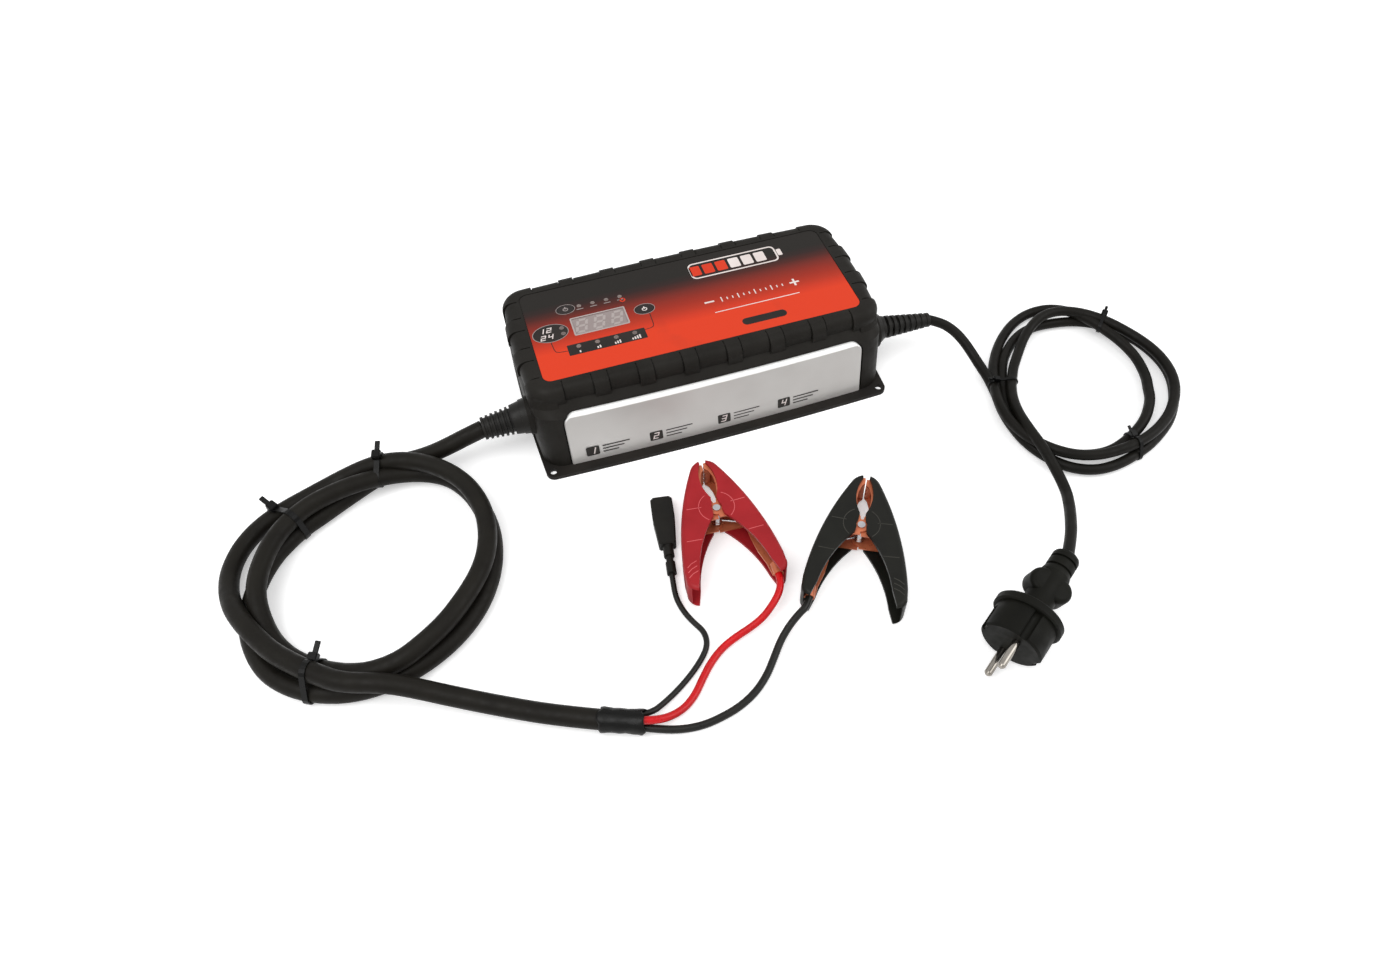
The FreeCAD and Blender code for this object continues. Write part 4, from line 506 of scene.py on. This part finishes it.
def soft_box(x, y, long, wide, corner):
    points = []
    for cx, cy, start in ((1, 1, 0), (-1, 1, 90), (-1, -1, 180), (1, -1, 270)):
        for i in range(corner_steps + 1):
            t = math.radians(start + 90 * i / corner_steps)
            points.append((x + cx * (long / 2 - corner) + corner * math.cos(t),
                           y + cy * (wide / 2 - corner) + corner * math.sin(t)))
    return points


def stroke(shape, points, width, z0, z1):
    # Line of even width through (x, y) points, as one closed slab.
    left = []
    right = []
    for i, point in enumerate(points):
        before = Vector(points[max(i - 1, 0)])
        after = Vector(points[min(i + 1, len(points) - 1)])
        along = (after - before).normalized()
        across = Vector((-along.y, along.x)) * width / 2
        left.append((point[0] + across.x, point[1] + across.y))
        right.append((point[0] - across.x, point[1] - across.y))
    slab(shape, left + right[::-1], z0, z1)


# Figures of straight strokes: which of the seven segments each number has
figure_strokes = {1: (1, 2), 2: (0, 1, 6, 4, 3), 3: (0, 1, 6, 2, 3), 4: (5, 6, 1, 2)}
figure_lean = 0.28      # millimetres sideways for each one up
figure_step = 0.002     # each stroke stands this much above the one before


def segments(x, y, wide, high):
    # The seven strokes of a figure, from its middle, as pairs of ends: the top, then
    # clockwise down the right side, and the middle one last.
    a = wide / 2
    b = high / 2
    top = [(x - a, y + b), (x + a, y + b)]
    middle = [(x - a, y), (x + a, y)]
    bottom = [(x - a, y - b), (x + a, y - b)]
    upper_left, upper_right = ([(px, y), (px, y + b)] for px in (x - a, x + a))
    lower_left, lower_right = ([(px, y - b), (px, y)] for px in (x - a, x + a))
    return [top, upper_right, lower_right, bottom, lower_left, upper_left, middle]


def shortened(ends, cut):
    (x0, y0), (x1, y1) = ends
    long = math.hypot(x1 - x0, y1 - y0)
    dx = (x1 - x0) / long * cut
    dy = (y1 - y0) / long * cut
    return [(x0 + dx, y0 + dy), (x1 - dx, y1 - dy)]


def leaning(ends, y):
    return [(px + figure_lean * (py - y), py) for px, py in ends]


def figure(shape, number, x, y, size, z0, z1):
    wide, high, width = size
    drawn = segments(x, y, wide, high)
    for n, i in enumerate(figure_strokes[number]):
        lift = figure_step * n
        ends = shortened(leaning(drawn[i], y), -width / 2)
        stroke(shape, ends, width, z0 + lift, z1 + lift)


# Print on the lid. A level of 1 lies on a print below it.
film_top = 61.75
print_gap = 0.005
print_thick = 0.04
print_black = moulded("print_black", (36, 33, 31), (44, 40, 37), 0.38)
print_white = moulded("print_white", (232, 222, 218), (220, 208, 204), 0.36)
print_grey = moulded("print_grey", (158, 148, 146), (146, 136, 134), 0.34)
print_red = moulded("print_red", (214, 62, 36), (204, 56, 32), 0.38)
ghost_ink = moulded("ghost_ink", (176, 166, 163), (168, 158, 155), 0.3)
window_rim = moulded("window_rim", (180, 170, 167), (170, 160, 158), 0.4)


def printed(name, maker, finish, level=0):
    z0 = film_top + print_gap + level * print_thick

    def build(shape):
        maker(shape, z0, z0 + print_thick)

    return add_mesh(name, build, finish)


# Places on the film, as (x, y)
volt_spot = (-98.0, 0.0)
mode_key_spot = (-31.0, 2.5)
display_key_spot = (-83.1, 20.1)
display_spot = (-63.2, 1.1)
bar_spot = (-63.3, -20.5)
warning_spot = (-43.0, 16.6)
pill_spot = (44.5, -33.0)
bar_lamps = [(-82.6 + 13.0 * i, -18.1) for i in range(4)]
volt_lamps = [(-89.6, 2.9), (-89.6, -2.9)]
upper_lamps = [(-73.3 + 9.75 * i, 20.8) for i in range(4)]

# Backgrounds, the lines that link them, and outlines round the voltage oval and both keys
bar_size = (54.0, 10.2, 0.6)        # long, wide and the corners' radius
volt_size = (24.5, 17.0)
link_wide = 0.55
link_lines = ([(-99.6, -8.4), (-99.0, -16.5), (-98.2, -18.9), (-96.0, -19.9), (-90.4, -20.4)],
              [(-28.7, -2.0), (-29.2, -13.8), (-29.8, -16.2), (-31.6, -17.2), (-36.2, -17.6)])
outlines = ((volt_spot, (25.1, 17.6), (24.1, 16.6)),
            (mode_key_spot, (15.0, 10.8), (14.1, 9.9)),
            (display_key_spot, (13.6, 9.9), (12.8, 9.1)))


def bar_print(shape, z0, z1):
    slab(shape, soft_box(*bar_spot, *bar_size), z0, z1)


def ovals_print(shape, z0, z1):
    slab(shape, oval(*volt_spot, *volt_size), z0, z1)


def lines_print(shape, z0, z1):
    for points in link_lines:
        stroke(shape, points, link_wide, z0, z1)


def ring_print(shape, z0, z1):
    for spot, outer, inner in outlines:
        ring(shape, oval(*spot, *outer), oval(*spot, *inner), z0, z1)


# Unlit figures in the display, and its edge
glass_top = 61.3
digit_places = (-75.8, -63.4, -50.9)
digit_wide = 6.2
digit_high = 11.4
segment_wide = 1.9
segment_cut = 0.7       # off each end of a segment
edge_outer = (38.9, 18.0, 1.2)
edge_inner = (36.8, 15.9, 0.6)


def ghost_digits(shape):
    z0 = glass_top + print_gap
    y = display_spot[1]
    for x in digit_places:
        for ends in segments(x, y, digit_wide, digit_high):
            ends = leaning(shortened(ends, segment_cut), y)
            stroke(shape, ends, segment_wide, z0, z0 + print_thick)


def display_edge(shape, z0, z1):
    ring(shape, soft_box(*display_spot, *edge_outer), soft_box(*display_spot, *edge_inner), z0, z1)


# Plain marks by the lamps
level_foot = -24.4
level_wide = 1.0
level_high = 1.8
level_rise = 0.6        # of each stroke over the one before
level_step = 1.7
lamp_mark_low = 3.4     # below the lamp's middle
lamp_mark_reach = 2.4
lamp_mark_wide = 0.7
warning_outer = (4.2, 4.2)
warning_inner = (2.2, 2.2)
small_sides = 24        # of the smaller rings


def rising_bars(shape, z0, z1):
    # Under each lamp of the black bar, one to four strokes for the level.
    for lamp, spot in enumerate(bar_lamps):
        for i in range(lamp + 1):
            x = spot[0] + (i - lamp / 2) * level_step
            x0 = x - level_wide / 2
            x1 = x + level_wide / 2
            top = level_foot + level_high + level_rise * i
            slab(shape, [(x0, level_foot), (x1, level_foot), (x1, top), (x0, top)], z0, z1)


def lamp_marks(shape, z0, z1):
    for x, y in upper_lamps:
        low = y - lamp_mark_low
        stroke(shape, [(x - lamp_mark_reach, low), (x + lamp_mark_reach, low)], lamp_mark_wide,
               z0, z1)


def small_ring(shape, z0, z1):
    ring(shape, oval(*warning_spot, *warning_outer, small_sides),
         oval(*warning_spot, *warning_inner, small_sides), z0, z1)


volt_rows = ((3.3, 1), (-3.3, 2))
volt_columns = (-103.6, -98.4)
volt_figure = (2.7, 3.9, 0.75)      # width, height and stroke


def volt_marks(shape, z0, z1):
    # 12 above 24.
    for y, number in volt_rows:
        for x, shown in zip(volt_columns, (number, 2 * number)):
            figure(shape, shown, x, y, volt_figure, z0, z1)


# A generic battery on its side, with cells for the level
battery_spot = (43.0, 28.5)
battery_outer = (66.0, 17.0, 4.0)
battery_inner = (63.6, 14.6, 3.0)
battery_tip = (3.4, 7.0, 0.8)
battery_tip_x = 78.2
cell_size = (7.8, 10.2, 1.0)
cell_start = 14.2
cell_step = 9.8
red_cells = range(3)
white_cells = range(3, 6)


def cells(shape, numbers, z0, z1):
    for i in numbers:
        x = cell_start + i * cell_step
        slab(shape, soft_box(x, battery_spot[1], *cell_size), z0, z1)


def charge_scale(shape, z0, z1):
    ring(shape, soft_box(*battery_spot, *battery_outer), soft_box(*battery_spot, *battery_inner),
         z0, z1)
    slab(shape, soft_box(battery_tip_x, battery_spot[1], *battery_tip), z0, z1)
    cells(shape, white_cells, z0, z1)


def charge_cells(shape, z0, z1):
    cells(shape, red_cells, z0, z1)


# A rule from a minus to a plus
rule_y = -6.0
minus_x = 13.5
plus_x = 76.5
pole_reach = 3.5
pole_gap = 0.8          # from the plus's level stroke to its upright ones
pole_wide = 1.5
rule_marks = 12
mark_reach = (2.4, 1.2, 1.2)    # every third mark of the rule is a long one
mark_wide = 0.8
rule_start = 22.5
rule_step = 4.1
rule_line = [(14.0, -17.5), (76.0, -17.5)]
rule_line_wide = 0.7
pill_size = (32.0, 6.6, 3.2)


def pole_marks(shape, z0, z1):
    for x in (minus_x, plus_x):
        stroke(shape, [(x - pole_reach, rule_y), (x + pole_reach, rule_y)], pole_wide, z0, z1)
    for way in (1, -1):
        stroke(shape, [(plus_x, rule_y + way * pole_reach), (plus_x, rule_y + way * pole_gap)],
               pole_wide, z0, z1)
    for i in range(rule_marks):
        x = rule_start + i * rule_step
        reach = mark_reach[i % 3]
        stroke(shape, [(x, rule_y - reach), (x, rule_y + reach)], mark_wide, z0, z1)
    stroke(shape, rule_line, rule_line_wide, z0, z1)


def blank_pill(shape, z0, z1):
    slab(shape, soft_box(*pill_spot, *pill_size), z0, z1)


# Lens caps over the lights, and marks on the two keys
cap_sides = 20
cap_radius = 1.7
cap_rise = 0.3
cap_steps = (1.0, 0.9, 0.6, 0.3)    # shares of the radius where its surface is followed
cap_sunk = 0.1      # of the upper lights' caps below the film
key_top = 62.0
mode_mark_spot = (-31.0, 2.1)
display_mark_spot = (-83.1, 19.8)
key_ring_outer = (3.8, 3.4)
key_ring_inner = (2.6, 2.2)
key_stroke = (0.2, 2.6)     # from and to, over the ring's middle
key_stroke_wide = 0.7
key_stroke_high = (0.002, 0.045)


def lens_caps(shape, spots, level):
    for x, y in spots:
        loops = []
        for share in cap_steps:
            across = 2 * cap_radius * share
            z = level + cap_rise * math.sqrt(1 - share * share)
            loops.append(loop_of(shape, oval(x, y, across, across, cap_sides), z))
        for first, second in zip(loops, loops[1:]):
            skin(shape, first, second)
        shape.faces.new(loops[0])
        shape.faces.new(loops[-1])


def bar_caps(shape):
    lens_caps(shape, bar_lamps + volt_lamps, film_top + print_thick)


def upper_caps(shape):
    lens_caps(shape, upper_lamps, film_top - cap_sunk)


def key_symbol(shape, x, y):
    # A plain ring with a stroke in it.
    z0 = key_top + print_gap
    ring(shape, oval(x, y, *key_ring_outer, small_sides), oval(x, y, *key_ring_inner, small_sides),
         z0, z0 + print_thick)
    stroke(shape, [(x, y + key_stroke[0]), (x, y + key_stroke[1])], key_stroke_wide,
           z0 + key_stroke_high[0], z0 + key_stroke_high[1])


def mode_symbol(shape):
    key_symbol(shape, *mode_mark_spot)


def display_symbol(shape):
    key_symbol(shape, *display_mark_spot)


printed("bar_background", bar_print, print_black)
printed("voltage_background", ovals_print, print_black)
printed("link_lines", lines_print, print_black)
printed("oval_outlines", ring_print, print_grey, 1)
add_mesh("ghost_digits", ghost_digits, ghost_ink)
printed("display_edge", display_edge, window_rim)
printed("level_marks", rising_bars, print_white, 1)
printed("lamp_marks", lamp_marks, print_grey)
printed("warning_ring", small_ring, print_red)
printed("voltage_marks", volt_marks, print_white, 1)
printed("charge_scale", charge_scale, print_white)
printed("charge_cells", charge_cells, print_red)
printed("pole_marks", pole_marks, print_white)
printed("blank_pill", blank_pill, print_black)
add_mesh("bar_lenses", bar_caps, lens)
add_mesh("upper_lenses", upper_caps, lens)
add_mesh("mode_mark", mode_symbol, print_white, "mode_key")
add_mesh("display_mark", display_symbol, print_grey, "display_key")

# Front label: four plain numbered squares, each with three lines. The numbers below are
# the wall's, as in the solids.
foot_half_y = 69.5
wall_lean = 5.0 / 41.0
wall_foot = 3.0
plate_proud = 0.6
side_bow = 2.3 / 127.0 ** 2
label_ink = moulded("label_ink", (46, 44, 42), (58, 56, 53), 0.45)
label_places = (-90.9, -46.2, 2.8, 47.1)
label_row = 11.6
label_line_top = 14.2
label_line_step = 2.6
label_line_start = 7.0      # from the square's middle
label_line_ends = (26.0, 22.0, 18.0)
label_line_wide = 0.8
label_square = (9.2, 7.8, 1.0)
square_high = (0.02, 0.06)      # from the plate
line_high = (0.02, 0.08)
label_figure_high = (0.06, 0.1)
label_figure = (2.8, 4.6, 0.8)


def onto_front(shape):
    # From a flat drawing in x and z, with its height as distance from the plate, to the wall.
    for vert in shape.verts:
        x = vert.co.x / MM
        z = vert.co.y / MM
        out = plate_proud + vert.co.z / MM
        y = foot_half_y - wall_lean * (z - wall_foot) - side_bow * x * x + out
        vert.co = (x * MM, -y * MM, z * MM)


def label_squares(shape):
    for x in label_places:
        slab(shape, soft_box(x, label_row, *label_square), *square_high)
        for i, end in enumerate(label_line_ends):
            z = label_line_top - label_line_step * i
            stroke(shape, [(x + label_line_start, z), (x + end, z)], label_line_wide, *line_high)
    onto_front(shape)


def label_figures(shape):
    for number, x in enumerate(label_places, 1):
        figure(shape, number, x, label_row, label_figure, *label_figure_high)
    onto_front(shape)


add_mesh("label_squares", label_squares, label_ink)
add_mesh("label_figures", label_figures, print_white)

# Cable ties that hug the strands, as the convex line round them. Each has its angle on the
# coil, and whether its head lies on the coil's outer side.
output_tie_places = ((75.0, True), (129.0, True), (243.0, False))
mains_tie_places = ((166.0, True), (46.0, True), (270.0, False))
output_band = (3.6, 0.8)    # width and thickness
mains_band = (2.2, 0.9)
output_inset = 6.5          # of a head on the outer side, from the strap's outermost line
mains_inset = 4.5
inner_inset = 5.0           # of one on the inner side, from its innermost line
strand_sides = 20
strand_gap = 0.1
floor_gap = 0.12
inner_low = 0.1         # the lowest that a strap's inner and outer faces lie
outer_low = 0.05

# Each tie's head and tail: away from the head's middle, up, lean, and then long, wide, high
# and bevel
output_blocks = ((0, 2.5, 12, 6.0, 5.8, 4.6, 0.5), (5.5, 3.6, 20, 9.0, 3.4, 1.0, 0.25))
mains_blocks = ((0, 1.8, 12, 4.6, 4.2, 3.2, 0.4), (3.6, 2.4, 20, 5.5, 2.0, 0.9, 0.2))


def strands_at(turns, angle):
    # Where the strands cross one radius of the coil, as distances out and heights.
    found = []
    for before, after in zip(turns, turns[1:]):
        lap = math.ceil((before[0] - angle) / 360)
        while angle + 360 * lap < after[0]:
            share = (angle + 360 * lap - before[0]) / (after[0] - before[0])
            found.append((before[1] + share * (after[1] - before[1]),
                          before[2] + share * (after[2] - before[2])))
            lap += 1
    return found


def hull(points):
    # The convex line round the points, counter-clockwise.
    def half(ordered):
        line = []
        for p in ordered:
            while len(line) > 1 and ((line[-1][0] - line[-2][0]) * (p[1] - line[-2][1])
                                     <= (line[-1][1] - line[-2][1]) * (p[0] - line[-2][0])):
                line.pop()
            line.append(p)
        return line[:-1]
    ordered = sorted(set(points))
    return half(ordered) + half(ordered[::-1])


def round_strands(strands, radius):
    points = []
    for out, height in strands:
        for i in range(strand_sides):
            t = 2 * math.pi * i / strand_sides
            points.append((round(out + radius * math.cos(t), 4),
                           round(max(height + radius * math.sin(t), floor_gap), 4)))
    return hull(points)


def strap(shape, centre, angle, strands, lead_radius, wide, thick):
    a = math.radians(angle)
    inner = round_strands(strands, lead_radius + strand_gap)
    loops = []
    count = len(inner)
    for side, grow in ((-1, 0), (-1, thick), (1, thick), (1, 0)):
        loop = []
        for i, (out, z) in enumerate(inner):
            before = Vector(inner[i - 1])
            after = Vector(inner[(i + 1) % count])
            along = (after - before).normalized()
            o = out + along.y * grow
            h = max(z - along.x * grow, outer_low if grow else inner_low)
            s = side * wide / 2
            loop.append(shape.verts.new(((centre[0] + o * math.cos(a) - s * math.sin(a)) * MM,
                                         (centre[1] + o * math.sin(a) + s * math.cos(a)) * MM,
                                         h * MM)))
        loops.append(loop)
    for first, second in zip(loops, loops[1:] + loops[:1]):
        skin(shape, first, second)
    return inner


def block(shape, centre, angle, out, height, lean, long, wide, high, bevel):
    # Rounded block: long along the radius, leaning by an angle from the level.
    a = math.radians(angle)
    place = (centre[0] + out * math.cos(a), centre[1] + out * math.sin(a), height)
    made = bmesh.ops.create_cube(shape, size=1.0)
    turn = (Matrix.Translation(metres(place))
            @ Matrix.Rotation(a, 4, "Z") @ Matrix.Rotation(-math.radians(lean), 4, "Y")
            @ Matrix.Diagonal((long * MM, wide * MM, high * MM, 1)))
    bmesh.ops.transform(shape, matrix=turn, verts=made["verts"])
    edges = {edge for vert in made["verts"] for edge in vert.link_edges}
    bmesh.ops.bevel(shape, geom=list(edges), offset=bevel * MM, segments=2, affect="EDGES")


def top_at(inner, out):
    # Height of the strap's line above a distance out.
    best = 0
    for (o0, z0), (o1, z1) in zip(inner, inner[1:] + inner[:1]):
        if min(o0, o1) <= out <= max(o0, o1) and o0 != o1:
            best = max(best, z0 + (z1 - z0) * (out - o0) / (o1 - o0))
    return best


def coil_ties(shape, centre, turns, places, lead_dia, band, inset, blocks):
    for angle, outward in places:
        inner = strap(shape, centre, angle, strands_at(turns, angle), lead_dia / 2, *band)
        outs = [out for out, height in inner]
        out = max(outs) - inset if outward else min(outs) + inner_inset
        way = 1 if outward else -1
        top = top_at(inner, out)
        for away, up, lean, *size in blocks:
            block(shape, centre, angle, out + away * way, top + up, lean * way, *size)


def output_straps(shape):
    coil_ties(shape, output_centre, output_turns, output_tie_places, output_dia, output_band,
              output_inset, output_blocks)


def mains_straps(shape):
    coil_ties(shape, mains_centre, mains_turns, mains_tie_places, mains_dia, mains_band,
              mains_inset, mains_blocks)


output_ties = add_mesh("output_ties", output_straps, tie_nylon)
mains_ties = add_mesh("mains_ties", mains_straps, tie_nylon)
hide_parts("output_cable_ties")
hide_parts("mains_cable_ties")

# Shrunk sleeve with ragged ends, where the lead branches
sleeve_start = Vector((-133.5, -255.8, 7.5))
sleeve_end = Vector((-110.6, -265.0, 7.5))
sleeve_radius = 7.2
sleeve_sides = 48
sleeve_seed = 7


def sleeve_shape(shape):
    draw = random.Random(sleeve_seed)
    along = sleeve_end - sleeve_start
    long = along.length
    along.normalize()
    across = Vector((-along.y, along.x, 0))
    up = along.cross(across) * -1
    wave = [draw.uniform(0, 6.28) for i in range(6)]

    def ragged(t, k):
        # Each end has three waves of its own.
        return (0.9 * math.sin(2 * t + wave[k]) + 0.5 * math.sin(5 * t + wave[k + 1])
                + 0.25 * math.sin(9 * t + wave[k + 2]))

    # Along the sleeve, growth over its radius, and how ragged it is there.
    profile = [(2.4, -1.2, 0), (-0.2, -0.9, 1), (-0.4, 0.0, 1), (1.0, 0.2, 1), (3.5, -0.1, 0.5),
               (7.0, -0.35, 0), (11.0, -0.1, 0), (15.0, -0.45, 0), (19.0, -0.15, 0),
               (long - 3.0, 0.0, 0.5), (long - 0.8, 0.2, 1), (long + 0.2, 0.0, 1),
               (long, -0.9, 1), (long - 2.4, -1.2, 0)]
    loops = []
    for n, (x, grow, rough) in enumerate(profile):
        start = 0 if n < len(profile) / 2 else 3
        loop = []
        for i in range(sleeve_sides):
            t = 2 * math.pi * i / sleeve_sides
            radius = (sleeve_radius + grow + 0.12 * math.sin(3 * t + x)
                      + 0.08 * math.sin(7 * t - 2 * x))
            place = (sleeve_start + along * (x + rough * ragged(t, start))
                     + (across * math.cos(t) + up * math.sin(t)) * radius)
            loop.append(shape.verts.new(place * MM))
        loops.append(loop)
    for first, second in zip(loops, loops[1:]):
        skin(shape, first, second)
    shape.faces.new(loops[0])
    shape.faces.new(loops[-1])


sleeve_piece = add_mesh("shrink_sleeve", sleeve_shape, sleeve_rubber)
for polygon in sleeve_piece.data.polygons:
    polygon.use_smooth = True
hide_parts("breakout_sleeve")

# Clamps: seams and the raised ring on the covers, in each clamp's own axes. They and the finger
# ribs are drawn in a lighter tone of the cover's plastic, as painted highlight along their ridges.
cover_top = 22.0
seam_wide = 0.45
seam_deep = 0.1
seam_proud = 0.08
clamps = (("red", (-28.6, -146.6), -3.7, 1, seam_red_painted_highlight, "red_grip"),
          ("black", (52.6, -188.4), -28.7, -1, seam_black_painted_highlight, "black_grip"))
ring_radius = 11.4
ring_turns = [math.radians(t) for t in range(-52, 66, 6)]
cover_seams = [[(9.6, 1.6), (19.0, 2.2)], [(14.8, -22.2), (24.6, -21.6)],
               [(ring_radius * math.cos(t), ring_radius * math.sin(t)) for t in ring_turns]]
rib_places = ((22.2, -38.0), (22.6, -41.6), (22.8, -45.2))
finger_ribs = [[(x, y + 1.4), (x + 3.6, y), (x + 6.4, y - 2.2)] for x, y in rib_places]


def in_clamp(pivot, turn, points, side):
    # From a clamp's own axes to the part's. A side of -1 mirrors them.
    c = math.cos(math.radians(turn))
    s = math.sin(math.radians(turn))
    return [(pivot[0] + side * x * c - y * s, pivot[1] + side * x * s + y * c) for x, y in points]


def add_seams(name, pivot, turn, side, lines, finish, body):
    def build(shape):
        for points in lines:
            stroke(shape, in_clamp(pivot, turn, points, side), seam_wide,
                   cover_top - seam_deep, cover_top + seam_proud)

    add_mesh(name, build, finish, body)


for colour, pivot, turn, side, finish, slot in clamps:
    add_seams(colour + "_fixed_seams", pivot, turn, side, cover_seams, finish, "root")
    add_seams(colour + "_moving_seams", pivot, turn, -side, cover_seams + finger_ribs,
              finish, colour + "_clamp_half")

# Floor, background and lamps, in metres
floor_size = 6.0
floor_fade = (0.8, 2.2)     # how far out the floor's own glow starts and stops to rise
floor_glow = (0.4, 0.65)
camera_white = 1.0
world_light = 0.5


def background_share(tree):
    # 1 for rays from the camera, and for those that metal and glass send on.
    path = tree.nodes.new("ShaderNodeLightPath")
    total = None
    for output in ("Is Camera Ray", "Is Glossy Ray", "Is Transmission Ray"):
        if total is None:
            total = path.outputs[output]
            continue
        add = tree.nodes.new("ShaderNodeMath")
        add.operation = "MAXIMUM"
        tree.links.new(total, add.inputs[0])
        tree.links.new(path.outputs[output], add.inputs[1])
        total = add.outputs[0]
    return total


def add_floor():
    mesh = bpy.data.meshes.new("floor")
    half = floor_size / 2
    corners = [(-half, -half, 0), (half, -half, 0), (half, half, 0), (-half, half, 0)]
    mesh.from_pydata(corners, [], [(0, 1, 2, 3)])
    floor = bpy.data.objects.new("floor", mesh)
    bpy.context.scene.collection.objects.link(floor)
    material = bpy.data.materials.new("floor")
    material.use_nodes = True
    tree = material.node_tree
    shader = tree.nodes["Principled BSDF"]
    shader.inputs["Base Color"].default_value = (0.9, 0.9, 0.9, 1)
    shader.inputs["Roughness"].default_value = 0.9
    shader.inputs["Specular IOR Level"].default_value = 0.1
    shader.inputs["Emission Color"].default_value = (1, 1, 1, 1)
    share = background_share(tree)
    place = tree.nodes.new("ShaderNodeTexCoord")
    away = tree.nodes.new("ShaderNodeVectorMath")
    away.operation = "LENGTH"
    tree.links.new(place.outputs["Object"], away.inputs[0])
    far = tree.nodes.new("ShaderNodeMapRange")
    for socket, value in zip(("From Min", "From Max", "To Min", "To Max"), floor_fade + floor_glow):
        far.inputs[socket].default_value = value
    tree.links.new(away.outputs["Value"], far.inputs["Value"])
    glow = tree.nodes.new("ShaderNodeMath")
    glow.operation = "MULTIPLY"
    tree.links.new(share, glow.inputs[0])
    tree.links.new(far.outputs["Result"], glow.inputs[1])
    tree.links.new(glow.outputs[0], shader.inputs["Emission Strength"])
    mesh.materials.append(material)


def add_world():
    world = bpy.data.worlds.new("studio")
    bpy.context.scene.world = world
    world.use_nodes = True
    tree = world.node_tree
    back = tree.nodes["Background"]
    mix = tree.nodes.new("ShaderNodeMix")
    mix.data_type = "FLOAT"
    mix.inputs[2].default_value = world_light
    mix.inputs[3].default_value = camera_white
    tree.links.new(background_share(tree), mix.inputs[0])
    tree.links.new(mix.outputs[0], back.inputs["Strength"])
    back.inputs["Color"].default_value = (1, 1, 1, 1)


def add_lamp(name, place, aim, size, power):
    data = bpy.data.lights.new(name, "AREA")
    data.shape = "RECTANGLE"
    data.size = size[0]
    data.size_y = size[1]
    data.energy = power
    lamp = bpy.data.objects.new(name, data)
    lamp.location = place
    lamp.rotation_euler = (Vector(aim) - Vector(place)).to_track_quat("-Z", "Y").to_euler()
    bpy.context.scene.collection.objects.link(lamp)


add_floor()
add_world()
add_lamp("key", (-0.9, -0.6, 1.6), (0, -0.1, 0), (1.2, 1.2), 15)
add_lamp("fill", (1.3, -0.5, 1.2), (0, -0.1, 0), (1.2, 1.2), 10)
add_lamp("over", (-0.3, -0.3, 2.2), (0, -0.1, 0), (1.6, 1.6), 8)

bpy.context.scene.view_settings.view_transform = "Standard"

bpy.context.view_layer.update()
